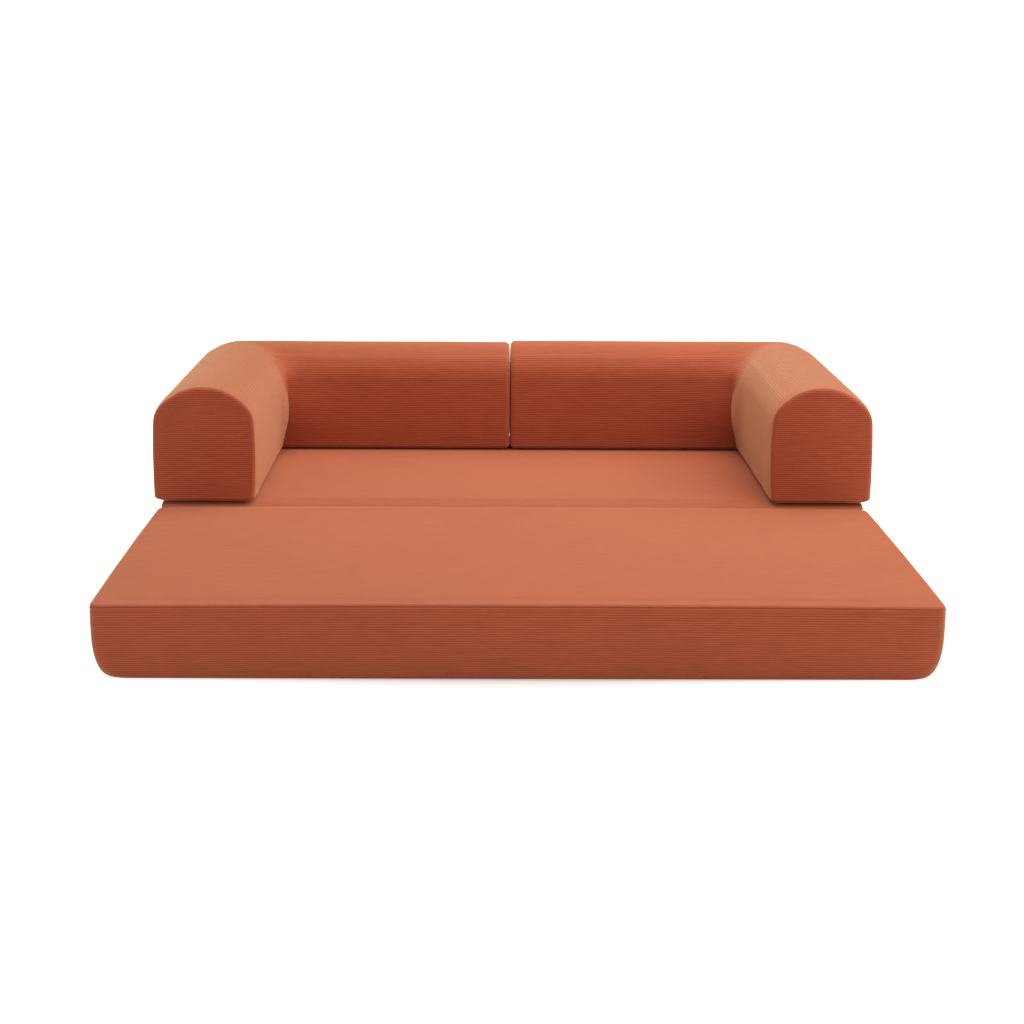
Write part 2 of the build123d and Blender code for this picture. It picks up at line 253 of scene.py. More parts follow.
class MattressSizes(bpy.types.PropertyGroup):
    """The mattresses' shape, beyond what their frame boxes give"""

    corner: length(0.022, "Plan radius of the outer corners")
    seam_corner: length(0.036, "Plan radius of the corners at the seam")
    seam_sharpen: length(0.012, "Draw-in over which the seam corners get sharp")
    edge: length(0.0055, "Radius of the sewn top edges")
    draw_in: length(0.028, "How far the walls pull in at the floor")
    draw_height: length(0.110, "Height over which the walls pull in")
    floor_corner: length(0.058, "Plan radius of the outer corners at the floor")
    under_corner: length(0.098, "Plan radius of the cover's edge round the underside")
    lip: length(0.0075, "How far the cover runs in over the underside's edge")
    seam_lip: length(0.084, "How far the cover runs in underneath from the seam")
    crown: length(0.004, "How much higher the front mattress's top is at its middle than at an edge")
    seat_roll: length(0.076, "How far back the seat's soft front edge reaches")
    seat_drop: length(0.020, "How far the seat's soft front edge drops")
    welt: length(0.0009, "How far the folded seam at the top edge stands out")


class ModuleSizes(bpy.types.PropertyGroup):
    """The L-shaped modules' section and corners"""

    thickness: length(0.295, "Thickness of an arm or the back at its widest")
    base_draw_in: length(0.012, "How far each side pulls in at the bottom")
    corner_swell: length(0.022, "How far the cloth swells where arm and back meet inside")
    swell_reach: length(0.130, "How far the inside swelling runs from the corner")
    inside_share: share(0.55, "Radius of the corner's inside, as a share of the way to the crown")
    left_height: share(0.988, "Height of the left module as a share of the pattern")
    right_height: share(1.001, "Height of the right module as a share of the pattern")
    shoulder_draw_in: length(0.003, "How far each side has come in where the arch springs")
    widest_share: share(0.42, "Share of the height at which the section is widest")
    arch: length(0.104, "Height of the rounded top")
    shoulder: length(0.093, "Radius of the arch's shoulders")
    base_edge: length(0.016, "Radius of the bottom edges")
    arm_end: length(0.009, "Radius of the arm's front edges")
    centre_end: length(0.016, "Radius of the edges where the two modules meet")


class PaddingSettings(bpy.types.PropertyGroup):
    """How the foam fills the covers"""

    voxel: length(0.032, "Size of the faces of the cloth that the foam's pressure blows up")
    pressure: share(9.0, "How hard the foam presses on the cloth")
    last_frame: IntProperty(description="How long the cloth is blown up for", default=20)
    most: length(0.0038, "How far the pressure may lift the cloth")
    free: length(0.020, "How far free cloth would rise where the cover's cloth nears its most")
    stuffing: length(0.0045, "How far the foam holds the cloth off the pattern everywhere")
    unevenness: length(0.0007, "Height of the slow waves in the filled cloth")
    base_fade: length(0.165, "Height above the floor over which a mattress's swelling grows")
    core_depth: length(0.055, "How far inside a cover the boxes lie that its faces swell away from")
    base_spread: share(1.4, "How much more than elsewhere a module's sides swell at its base")
    module_fade: length(0.012, "Height above its base over which a module's swelling grows")
    arm_spread: share(0.8, "How much more than elsewhere the arms' outer sides swell")
    seam_fade: length(0.070, "Distance from a neighbour over which the swelling grows")


class ZipSizes(bpy.types.PropertyGroup):
    """The zips and the bands of cloth that they lie in"""

    flat: length(0.018, "How far the cloth stays flat on each side of a zip")
    fade: length(0.030, "How far the cloth takes to swell beside that band")
    above: length(0.0004, "How far the middle of the frame's tape lies above the cloth")
    tape: length(0.0118, "From the middle of a zip to its tape's edge")
    hem: length(0.0016, "Width of the thicker woven edge of the tape")
    thick: length(0.0006, "How far the tape stands above the cloth's crests")
    sunk: length(0.0016, "How far the tape's edges run down between the ribs")
    tooth_pitch: length(0.0024, "From one tooth of a row to the next")
    tooth: triple((0.0014, 0.0034, 0.0016), "Size of a tooth along, across and out")
    tooth_offset: length(0.0010, "How far each row of teeth lies from the middle")
    stitch_pitch: length(0.0036, "From one stitch to the next")
    stitch: triple((0.0027, 0.0005, 0.0005), "Size of a stitch along, across and out")
    stitch_line: length(0.0072, "From the middle of a zip to each line of stitches")
    stop: triple((0.0045, 0.0058, 0.0022), "Size of the stops at a zip's ends")


class TrimColours(bpy.types.PropertyGroup):
    """Colours of the zips, the undersides and the foam"""

    tape: colour((0.38, 0.085, 0.036), "Colour of the woven zip tape")
    coil: colour((0.33, 0.070, 0.030), "Colour of the nylon teeth")
    thread: colour((0.56, 0.15, 0.07), "Colour of the stitches")
    enamel: colour((0.36, 0.085, 0.038), "Colour of the sliders and pulls")
    webbing: colour((0.34, 0.075, 0.032), "Colour of the hinge webbing")
    underside: colour((0.060, 0.056, 0.052), "Colour of the non-slip fabric")
    dots: colour((0.022, 0.021, 0.020), "Colour of the rubber dots")
    nylon: colour((0.050, 0.045, 0.042), "Colour of the hook and loop tapes")
    firm: colour((0.84, 0.80, 0.68), "Colour of the firm foam")
    soft: colour((0.90, 0.88, 0.82), "Colour of the soft foam")


class StudioSettings(bpy.types.PropertyGroup):
    """The camera and the light"""

    camera_place: triple((-0.0845, -6.144, 1.513), "Where the camera stands")
    pitch: share(12.258, "How far the camera looks down, in degrees")
    yaw: share(0.755, "How far the camera looks to the right, in degrees")
    roll: share(0.365, "How far the camera leans, in degrees")
    lens: share(73.91, "Focal length in millimetres on a 36 mm frame")
    key_place: triple((1.5, 0.4, 4.0), "Where the large soft light stands")
    key_target: triple((0.0, 0.0, 0.2), "The point that the light is aimed at")
    key_size: length(7.0, "Width and height of the light")
    key_power: share(320.0, "Power of the light, in watts")
    ambient: share(0.45, "Strength of the light from all round")
    backdrop: share(1.6, "Brightness of the backdrop to the camera")
    floor_radius: length(60.0, "How far the floor reaches")
    fold_room: length(0.0095, "Space under the folded front mattress's swollen top")
    floor_glow: share(0.25, "How strongly the floor's glow lights the sofa bed")
    glow_start: length(0.50, "Distance at which the floor's glow begins")
    glow_full: length(1.2, "Distance at which the floor's glow is full")


# Shader maths


class Value:
    """A node socket that sums, products and the like can be written with."""

    def __init__(self, tree, socket):
        self.tree = tree
        self.socket = socket

    def math(self, operation, *others):
        return node(self.tree, "ShaderNodeMath", {"operation": operation}, [self, *others])

    def __add__(self, other):
        return self.math("ADD", other)

    def __sub__(self, other):
        return self.math("SUBTRACT", other)

    def __mul__(self, other):
        return self.math("MULTIPLY", other)

    def __rsub__(self, other):
        return node(self.tree, "ShaderNodeMath", {"operation": "SUBTRACT"}, [other, self])

    __radd__ = __add__
    __rmul__ = __mul__


def put(tree, value, socket):
    """Links a value to a socket, or sets the socket to a plain value."""
    if isinstance(value, Value):
        tree.links.new(value.socket, socket)
    else:
        socket.default_value = value


def node(tree, kind, settings=None, inputs=(), output=0):
    """Adds a node, sets it up, feeds its inputs by place or by name, and gives one output as a Value."""
    made = tree.nodes.new(kind)
    for name, value in (settings or {}).items():
        if name == "stops":
            set_stops(made.color_ramp, value)
        else:
            setattr(made, name, value)
    pairs = inputs.items() if isinstance(inputs, dict) else enumerate(inputs)
    for key, value in pairs:
        put(tree, value, made.inputs[key])
    return Value(tree, made.outputs[output])


def set_stops(ramp, stops):
    """Puts a colour ramp's stops in place, each a position and a grey level."""
    while len(ramp.elements) < len(stops):
        ramp.elements.new(1.0)
    for element, (position, level) in zip(ramp.elements, stops):
        element.position = position
        element.color = (level, level, level, 1.0)


def blend_colours(tree, factor, first, second, mode="MIX"):
    """Mixes two colours."""
    settings = {"data_type": "RGBA", "blend_type": mode, "clamp_result": False}
    return node(tree, "ShaderNodeMix", settings, {0: factor, 6: first, 7: second}, output=2)


def rgba(values):
    """A colour with full alpha."""
    return (*values, 1.0)


def new_material(name):
    """A material with its shader and nothing else set."""
    material = bpy.data.materials.new(name)
    material.use_nodes = True
    return material, material.node_tree, material.node_tree.nodes["Principled BSDF"]


def feed(tree, shader, values):
    """Feeds the shader's sockets by name."""
    for name, value in values.items():
        put(tree, value, shader.inputs[name])


def bump(tree, height, strength, distance):
    """A bump from a height in units of the distance."""
    return node(tree, "ShaderNodeBump", {}, {"Strength": strength, "Distance": distance, "Height": height})


def own_place(tree):
    """The object's own coordinates."""
    return node(tree, "ShaderNodeTexCoord", output=3)


def place_on(tree, axis):
    """One of the object's own coordinates."""
    return node(tree, "ShaderNodeSeparateXYZ", {}, [own_place(tree)], output=axis)


def woven(along, across, pitch):
    """The height of a plain weave, from 0 to 1."""
    turns = 2 * pi / pitch
    return (along * turns).math("SINE") * (across * turns).math("SINE") * 0.5 + 0.5


def speckle(tree, scale, detail=3.0):
    """Noise on the object's own coordinates."""
    return node(tree, "ShaderNodeTexNoise", {}, {"Vector": own_place(tree), "Scale": scale, "Detail": detail})


def streaked(tree, lie, along, across, detail):
    """Noise on the flat cloth that varies so many times a metre along the ribs and across them."""
    stretched = node(tree, "ShaderNodeMapping", {}, {"Vector": lie, "Scale": (along, across, 1.0)})
    return node(tree, "ShaderNodeTexNoise", {}, {"Vector": stretched, "Scale": 1.0, "Detail": detail})


def shaded(tree, base, tone):
    """A colour made lighter and darker by a tone round 1."""
    grey = node(tree, "ShaderNodeCombineColor", {}, [tone, tone, tone])
    return blend_colours(tree, 1.0, base, grey, "MULTIPLY")


def corduroy():
    """The covers' material, made when it is first asked for."""
    return bpy.data.materials.get("ribbed_corduroy") or corduroy_material()


def corduroy_material():
    """Ribbed cotton pile: crests painted lighter as if lit and grooves painted darker with shade, slightly uneven dye
    and a soft sheen.
    """
    cloth = bpy.context.scene.sofa_cloth
    material, tree, shader = new_material("ribbed_corduroy")
    wale = node(tree, "ShaderNodeAttribute", {"attribute_name": "wale"}, output=2)
    lie = node(tree, "ShaderNodeUVMap", {"uv_map": "cloth"})
    streak = streaked(tree, lie, 18.0, 160.0, 3.0)
    cloud = speckle(tree, 3.2, 4.0)
    patch = streaked(tree, lie, 15.0, 60.0, 3.0)
    yarn = streaked(tree, lie, 700.0, 1400.0, 2.0)
    # Painted light and shade on the ribs: the darker groove colour is painted shade in the grooves, the lighter crest
    # colour is painted as if lit
    base = blend_colours(tree, wale, rgba(cloth.groove), rgba(cloth.crest))
    tone = streak * 0.24 + cloud * 0.14 + yarn * 0.20 + patch * 0.26 + 0.58
    feed(tree, shader, {
        "Base Color": shaded(tree, base, tone),
        "Roughness": 0.9,
        "Specular IOR Level": 0.04,
        "Sheen Weight": cloth.sheen,
        "Sheen Roughness": cloth.sheen_spread,
        "Sheen Tint": rgba(cloth.sheen_tint),
        "Normal": bump(tree, yarn, 0.5, 0.0004),
    })
    return material


def woven_material(name, tint, pitch, flat=False):
    """A woven tape, whose threads run along its length. A flat one lies level, the others stand upright."""
    material, tree, shader = new_material(name)
    along = place_on(tree, 0) if flat else place_on(tree, 0) + place_on(tree, 1)
    weave = woven(along, place_on(tree, 1 if flat else 2), pitch)
    fuzz = speckle(tree, 900.0)
    feed(tree, shader, {
        "Base Color": shaded(tree, rgba(tint), weave * 0.35 + fuzz * 0.3 + 0.62),
        "Roughness": fuzz * 0.2 + 0.72,
        "Specular IOR Level": 0.2,
        "Sheen Weight": 0.15,
        "Normal": bump(tree, weave + fuzz * 0.4, 0.8, 0.0003),
    })
    return material


def plastic_material(name, tint, roughness):
    """Moulded nylon with faint scuffs."""
    material, tree, shader = new_material(name)
    scuff = speckle(tree, 320.0, 5.0)
    feed(tree, shader, {
        "Base Color": shaded(tree, rgba(tint), scuff * 0.3 + 0.85),
        "Roughness": scuff * 0.3 + roughness,
        "Normal": bump(tree, scuff, 0.3, 0.0001),
    })
    return material


def enamel_material(name, tint):
    """Satin enamel on metal, a little worn."""
    material, tree, shader = new_material(name)
    bare_metal = (0.42, 0.36, 0.32, 1.0)
    wear = speckle(tree, 420.0, 6.0)
    worn = node(tree, "ShaderNodeValToRGB", {"stops": ((0.66, 0.0), (0.74, 1.0))}, [wear])
    feed(tree, shader, {
        "Base Color": blend_colours(tree, worn * 0.5, rgba(tint), bare_metal),
        "Metallic": worn * 0.6,
        "Roughness": wear * 0.25 + 0.28,
        "Coat Weight": 0.3,
        "Normal": bump(tree, wear, 0.2, 0.0001),
    })
    return material


def grip_material(name, fabric, dots):
    """Non-slip fabric with a grid of raised rubber dots."""
    material, tree, shader = new_material(name)
    settings = {"voronoi_dimensions": "2D", "feature": "F1"}
    inputs = {"Vector": own_place(tree), "Scale": 125.0, "Randomness": 0.0}
    grid = node(tree, "ShaderNodeTexVoronoi", settings, inputs)
    dot = node(tree, "ShaderNodeMapRange", {}, {0: grid, 1: 0.26, 2: 0.20})
    weave = woven(place_on(tree, 0), place_on(tree, 1), 0.0011)
    cloth = shaded(tree, rgba(fabric), weave * 0.5 + speckle(tree, 60.0) * 0.3 + 0.6)
    feed(tree, shader, {
        "Base Color": blend_colours(tree, dot, cloth, rgba(dots)),
        "Roughness": dot * -0.35 + 0.85,
        "Normal": bump(tree, dot + weave * 0.15, 0.9, 0.0008),
    })
    return material


def pile_material(name, tint, scale, height):
    """Hook or loop tape: a dense field of small nylon loops."""
    material, tree, shader = new_material(name)
    loops = node(tree, "ShaderNodeTexVoronoi", {}, {"Vector": own_place(tree), "Scale": scale})
    fuzz = speckle(tree, scale * 2, 4.0)
    feed(tree, shader, {
        "Base Color": shaded(tree, rgba(tint), loops * 0.6 + fuzz * 0.5 + 0.5),
        "Roughness": fuzz * 0.3 + 0.55,
        "Sheen Weight": 0.25,
        "Normal": bump(tree, 1 - loops, 0.9, height),
    })
    return material


def foam_material(name, tint, scale):
    """Open-cell foam: small pits in a pale, matt body."""
    material, tree, shader = new_material(name)
    pits = node(tree, "ShaderNodeTexVoronoi", {}, {"Vector": own_place(tree), "Scale": scale})
    clouds = speckle(tree, 9.0)
    feed(tree, shader, {
        "Base Color": shaded(tree, rgba(tint), pits * 0.3 + clouds * 0.1 + 0.8),
        "Roughness": 0.95,
        "Normal": bump(tree, pits, 0.8, 0.0008),
    })
    return material


def finish_nodes():
    """Gives every node that stays its procedural finish, by the slot that the record names."""
    trim = bpy.context.scene.sofa_trim
    finishes = {
        "corduroy": corduroy(),
        "firm_foam": foam_material("firm_open_cell_foam", trim.firm, 700.0),
        "soft_foam": foam_material("soft_open_cell_foam", trim.soft, 900.0),
        "nonslip_fabric": grip_material("dotted_nonslip_fabric", trim.underside, trim.dots),
        "hinge_webbing": woven_material("woven_hinge_webbing", trim.webbing, 0.0026, flat=True),
        "zip_tape": woven_material("woven_zip_tape", trim.tape, 0.0012),
        "zip_metal": enamel_material("worn_satin_enamel", trim.enamel),
        "hook_tape": pile_material("hook_nylon", trim.nylon, 520.0, 0.0008),
        "loop_tape": pile_material("brushed_loop_nylon", trim.nylon, 260.0, 0.0006),
    }
    for part in frame["nodes"].values():
        for slot in part.material_slots:
            slot.material = finishes[slot.material.name.split(".")[0]]


# Cloth panels


# How close two vertices or two points of an outline are when they are taken as one, and a length next to nothing
SAME_VERTEX = 0.00002
SAME_POINT = 0.00001
TINY = 0.000001
# The least height of the cloth above what it stands on
LEAST_HEIGHT = 0.0004


def linked(name, data):
    """An object over some data, in the scene."""
    made = bpy.data.objects.new(name, data)
    bpy.context.scene.collection.objects.link(made)
    return made


def new_mesh(name, bm):
    """A mesh from a finished bmesh."""
    mesh = bpy.data.meshes.new(name)
    bm.to_mesh(mesh)
    bm.free()
    return mesh


def grid(name, columns, rows):
    """A square of faces one metre wide round the origin."""
    bm = bmesh.new()
    bmesh.ops.create_grid(bm, x_segments=columns, y_segments=rows, size=0.5)
    return new_mesh(name, bm)


def evaluated(thing):
    """A new mesh of an object as its modifiers leave it."""
    return bpy.data.meshes.new_from_object(thing.evaluated_get(bpy.context.evaluated_depsgraph_get()))


def mesh_points(mesh):
    """A mesh's vertices as rows of an array."""
    flat = np.empty(len(mesh.vertices) * 3)
    mesh.vertices.foreach_get("co", flat)
    return flat.reshape(-1, 3)


def box(node_name):
    """The two corners of a node's box in the frame, as arrays."""
    low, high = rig.box(node_name)
    return np.array(low), np.array(high)


def cloth_panel(name, rows, columns, place):
    """A panel of cloth as a grid of faces. place puts each vertex by its row and column, and gives its share
    of a rib's height and where it lies on the flat cloth."""
    mesh = grid(name, columns, rows)
    flat = mesh_points(mesh)
    row = np.rint((flat[:, 1] + 0.5) * rows).astype(int)
    column = np.rint((flat[:, 0] + 0.5) * columns).astype(int)
    points, wale, lie = place(row, column)
    mesh.vertices.foreach_set("co", points.ravel())
    # The share of a rib's height also sets how much of the painted groove shade the corduroy's colour takes
    mesh.attributes.new("wale", "FLOAT", "POINT").data.foreach_set("value", wale)
    corners = np.empty(len(mesh.loops), dtype=int)
    mesh.loops.foreach_get("vertex_index", corners)
    mesh.uv_layers.new(name="cloth").data.foreach_set("uv", lie[corners].ravel())
    return mesh


def joined(name, meshes):
    """One smooth object from several panels, with what meets exactly merged."""
    objects = [linked(name, mesh) for mesh in meshes]
    whole = objects[0]
    with bpy.context.temp_override(
        active_object=whole, object=whole, selected_objects=objects, selected_editable_objects=objects
    ):
        bpy.ops.object.join()
    whole.name = name
    whole.data.name = name
    bm = bmesh.new()
    bm.from_mesh(whole.data)
    bmesh.ops.remove_doubles(bm, verts=bm.verts, dist=SAME_VERTEX)
    bm.to_mesh(whole.data)
    bm.free()
    whole.data.shade_smooth()
    return whole


def walk(points, lengths):
    """Places and outward normals at given lengths along a flat line of points."""
    steps = np.hypot(*np.diff(points, axis=0).T)
    run = np.concatenate([[0.0], np.cumsum(steps)])
    place = np.stack([np.interp(lengths, run, points[:, k]) for k in (0, 1)], axis=-1)
    slope = np.gradient(points, run, axis=0)
    slope = np.stack([np.interp(lengths, run, slope[:, k]) for k in (0, 1)], axis=-1)
    slope /= np.hypot(slope[:, 0], slope[:, 1])[:, None]
    normal = np.stack([slope[:, 1], -slope[:, 0]], axis=-1)
    return place, normal


def run_length(points):
    """The length of a flat line of points."""
    return float(np.hypot(*np.diff(points, axis=0).T).sum())


def arc(centre, radius, start, end, count):
    """Points along an arc, angles in degrees."""
    angle = np.radians(np.linspace(start, end, count))
    return np.stack([centre[0] + radius * np.cos(angle), centre[1] + radius * np.sin(angle)], axis=-1)


def line_up(*runs):
    """Runs of points as one line, without the points that two runs share."""
    points = np.concatenate(runs)
    steps = np.hypot(*np.diff(points, axis=0).T)
    return points[np.concatenate([[True], steps > SAME_POINT])]


def rib_rows(span):
    """How many ribs fill a span of cloth."""
    return max(1, round(span / bpy.context.scene.sofa_cloth.pitch))


# The share of a rib's height at each row of one rib, from groove to groove
RIB_SHARES = np.array([0.0, 0.82, 1.0, 0.82])
ROWS_PER_RIB = len(RIB_SHARES)


def rib_share(row):
    """The share of a rib's height at each row."""
    return RIB_SHARES[row % ROWS_PER_RIB]


def tuck(distance):
    """How far the cloth dips at a distance from a seam."""
    cloth = bpy.context.scene.sofa_cloth
    near = np.clip(1.0 - distance / cloth.tuck_reach, 0.0, 1.0)
    return cloth.tuck * near ** 2


def spaced(total, step, fine):
    """Stations along a run: fine distances from each end, and even steps between."""
    fine = np.array(fine)
    inner = total - 2 * fine[-1]
    count = max(2, round(inner / step))
    middle = fine[-1] + inner * np.arange(1, count) / count
    return np.concatenate([fine, middle, total - fine[::-1]])


# Distances from a seam at which the cloth has columns, and how far apart they are elsewhere
SEAM_STATIONS = (0.0, 0.0008, 0.0018, 0.0035, 0.007, 0.014, 0.026)
TOP_STEP = 0.032
WALL_STEP = 0.034


# Padding


def ramp(values, start, end):
    """Grows smoothly from 0 at the start to 1 at the end."""
    share_between = np.clip((values - start) / (end - start), 0.0, 1.0)
    return share_between ** 2 * (3.0 - 2.0 * share_between)


def zip_band(points, node_name, wall_axis):
    """1 on the band of cloth along a zip in the wall that faces the wall axis, and 0 away from it."""
    zips = bpy.context.scene.sofa_zips
    low, high = box(node_name)
    away = np.maximum(low - points, points - high)
    away[:, wall_axis] = np.abs(points[:, wall_axis] - high[wall_axis]) - 2 * zips.fade
    return 1.0 - ramp(np.max(away, axis=1), zips.flat - (high[2] - low[2]) / 4, zips.flat + zips.fade)


def foam_copy(nodes):
    """One coarse closed mesh over several foams."""
    bm = bmesh.new()
    for name in nodes:
        bm.from_mesh(frame["nodes"][name].data)
    bmesh.ops.remove_doubles(bm, verts=bm.verts, dist=SAME_VERTEX)
    cloth = linked("coarse_cloth", new_mesh("coarse_cloth", bm))
    remesh = cloth.modifiers.new("remesh", "REMESH")
    remesh.mode = "VOXEL"
    remesh.voxel_size = bpy.context.scene.sofa_padding.voxel
    cloth.data = evaluated(cloth)
    cloth.modifiers.clear()
    return cloth


def blown_up(nodes):
    """The coarse cloth's points at rest, their normals, and the points once blown up."""
    padding = bpy.context.scene.sofa_padding
    cloth = foam_copy(nodes)
    pad = cloth.modifiers.new("pressure", "CLOTH").settings
    pad.use_pressure = True
    pad.uniform_pressure_force = padding.pressure
    pad.effector_weights.gravity = 0.0
    smooth = cloth.modifiers.new("smooth", "SUBSURF")
    smooth.levels = smooth.render_levels = 1
    places, normals = [], []
    last = 1 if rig.quick() else padding.last_frame
    for step in range(1, last + 1):
        bpy.context.scene.frame_set(step)
        if step in (1, last):
            mesh = cloth.evaluated_get(bpy.context.evaluated_depsgraph_get()).data
            places.append([vertex.co.copy() for vertex in mesh.vertices])
            normals.append([normal.vector.copy() for normal in mesh.vertex_normals])
    bpy.context.scene.frame_set(1)
    bpy.data.objects.remove(cloth)
    return places[0], normals[0], places[-1]


# How many of the coarse cloth's points each point of a cover follows, and how widely, in coarse faces
NEAREST = 28
FOLLOWING = 1.3


def swollen(points, nodes):
    """How far the foam's pressure lifts each point of a cover."""
    padding = bpy.context.scene.sofa_padding
    rest, normals, after = blown_up(nodes)
    there = np.array([(b - a).dot(normal) for a, b, normal in zip(rest, after, normals)])
    tree = KDTree(len(rest))
    for k, place in enumerate(rest):
        tree.insert(place, k)
    tree.balance()
    near = np.empty((len(points), NEAREST), dtype=int)
    apart = np.empty((len(points), NEAREST))
    for k, point in enumerate(points):
        found = tree.find_n(point, NEAREST)
        near[k] = [index for _, index, _ in found]
        apart[k] = [distance for _, _, distance in found]
    weight = np.exp(-((apart / (FOLLOWING * padding.voxel)) ** 2))
    lift = (weight * there[near]).sum(axis=1) / weight.sum(axis=1)
    lift = (lift + np.hypot(lift, padding.free / 2)) / 2
    return padding.most * np.tanh(lift / padding.free)


def away_from_cores(points, cores):
    """Which way each point faces, away from the nearest of some boxes inside, so that edges turn slowly."""
    apart = np.full_like(points, np.inf)
    for low, high in cores:
        here = points - np.clip(points, np.array(low), np.array(high))
        here = here * np.abs(here)
        nearer = np.linalg.norm(here, axis=1) < np.linalg.norm(apart, axis=1)
        apart[nearer] = here[nearer]
    return apart / np.maximum(np.linalg.norm(apart, axis=1), TINY)[:, None]


def unevenness(points):
    """Slow crossing waves in the filled cloth, in radians a metre, between about -1 and 1."""
    x, y, z = points.T
    waves = 0.40 * np.sin(5.1 * x + 2.3 * y + 1.1) * np.sin(3.7 * y - 2.9 * x + 4.0 * z)
    waves += 0.30 * np.sin(11.3 * x - 7.7 * y + 0.7) * np.cos(9.1 * y + 6.0 * z)
    waves += 0.20 * np.sin(23.0 * x + 4.1 * np.sin(3.0 * y)) * np.cos(17.0 * y + 13.0 * z + 2.0)
    return waves + 0.10 * np.sin(47.0 * x + 5.0 * np.sin(7.0 * y)) * np.cos(31.0 * y - 29.0 * z)


def fill(cover, nodes, cores, shares):
    """Fills a cover: it swells and waves, each axis by the share that its neighbours leave."""
    padding = bpy.context.scene.sofa_padding
    mesh = cover.data
    points = mesh_points(mesh)
    outward = away_from_cores(points, cores)
    stand_off = padding.stuffing + swollen(points, nodes) + padding.unevenness * unevenness(points)
    mesh.vertices.foreach_set("co", (points + outward * stand_off[:, None] * shares(points)).ravel())
    mesh.update()


# Mattresses


class Slab:
    """One mattress's outline, from its cover's box in the frame."""

    def __init__(self, name):
        low, high = box(f"{name}_cover")
        self.name = name
        self.half = (high[:2] - low[:2]) / 2
        self.middle = (high[:2] + low[:2]) / 2
        self.top = high[2]
        self.seam_side = 1.0 if name == "front" else -1.0
        self.shape = bpy.context.scene.sofa_mattress

    def corner_radius(self, side_y):
        """The plan corner radius at the ends that face -Y or +Y."""
        at_seam = side_y * self.seam_side > 0
        return np.where(at_seam, self.shape.seam_corner, self.shape.corner)

    def crown(self, x, y):
        """How far the top is below its middle."""
        if self.name == "rear":
            return 0 * x
        shares = (x / self.half[0]) ** 2 + (y / self.half[1]) ** 2
        return self.shape.crown * shares

    def softened(self, points):
        """Rolls the seat's front edge down on the rear mattress."""
        if self.name == "front":
            return points
        back = (points[:, 1] - (self.middle[1] - self.half[1])) / self.shape.seat_roll
        near = np.clip(1.0 - back, 0.0, 1.0)
        drop = self.shape.seat_drop * (1.0 - np.sqrt(1.0 - near ** 2))
        points[:, 2] -= drop * (points[:, 2] / self.top) ** 2
        return points


def top_panel(slab):
    """A mattress's top, whose ribs run along X and whose border curls down to the sewn edge."""
    cloth = bpy.context.scene.sofa_cloth
    edge = slab.shape.edge
    curl = edge * pi / 2
    unrolled = slab.half - edge + curl
    rows = ROWS_PER_RIB * rib_rows(2 * unrolled[1])
    across = np.linspace(-unrolled[1], unrolled[1], rows + 1)
    along = spaced(2 * unrolled[0], TOP_STEP, SEAM_STATIONS) - unrolled[0]

    def flat_place(lie, k):
        """A plan coordinate from one measured over the curled border."""
        over = np.clip(unrolled[k] - np.abs(lie), 0.0, curl) / edge
        bent = slab.half[k] - edge + edge * np.cos(over)
        straight = np.abs(lie) <= unrolled[k] - curl
        return np.sign(lie) * np.where(straight, np.abs(lie), bent)

    def place(row, column):
        x = flat_place(along[column], 0)
        y = flat_place(across[row], 1)
        radius = slab.corner_radius(np.sign(y))
        a = np.clip((np.abs(x) - slab.half[0] + radius) / radius, 0.0, None)
        b = np.clip((np.abs(y) - slab.half[1] + radius) / radius, 0.0, None)
        out_x = a * np.sqrt(1 - b ** 2 / 2)
        out_y = b * np.sqrt(1 - a ** 2 / 2)
        in_corner = (a > 0) & (b > 0)
        x = np.where(in_corner, np.sign(x) * (slab.half[0] - radius + out_x * radius), x)
        y = np.where(in_corner, np.sign(y) * (slab.half[1] - radius + out_y * radius), y)
        gap = np.minimum(slab.half[0] - np.abs(x), slab.half[1] - np.abs(y))
        gap = np.where(in_corner, radius * (1 - np.hypot(out_x, out_y)), gap)
        inner = np.clip(edge - gap, 0.0, edge)
        fall = edge - np.sqrt(edge ** 2 - inner ** 2)
        to_seam = np.minimum(unrolled[0] - np.abs(along[column]), unrolled[1] - np.abs(across[row]))
        relief = np.maximum(cloth.depth * (rib_share(row) - 1.0) - tuck(to_seam), -cloth.deepest)
        tilt = inner / edge
        out = np.stack([np.where(a >= b, np.sign(x), 0.0), np.where(b > a, np.sign(y), 0.0)], axis=-1)
        height = slab.top - slab.crown(x, y) - fall
        points = np.stack([x + slab.middle[0], y + slab.middle[1], height], axis=-1)
        points[:, :2] += out * (relief * tilt)[:, None]
        points[:, 2] += relief * np.sqrt(1 - tilt ** 2)
        lie = np.stack([along[column], across[row]], axis=-1)
        return slab.softened(points), rib_share(row), lie

    return cloth_panel(f"{slab.name}_top", rows, len(along) - 1, place)


# How many points a wall's draw-in has
ROLL_POINTS = 40


def wall_section(slab):
    """A mattress wall as a line of inset and height, from the sewn top edge down and in under the cover."""
    shape = slab.shape
    top = slab.top - shape.edge
    angle = np.linspace(0, pi / 2, ROLL_POINTS)
    roll = np.stack([shape.draw_in * (1 - np.cos(angle)), shape.draw_height * (1 - np.sin(angle))], axis=-1)
    start = np.array([[0.0, top]])
    lip = np.array([[shape.draw_in + shape.lip, 0.0]])
    return line_up(start, roll, lip)


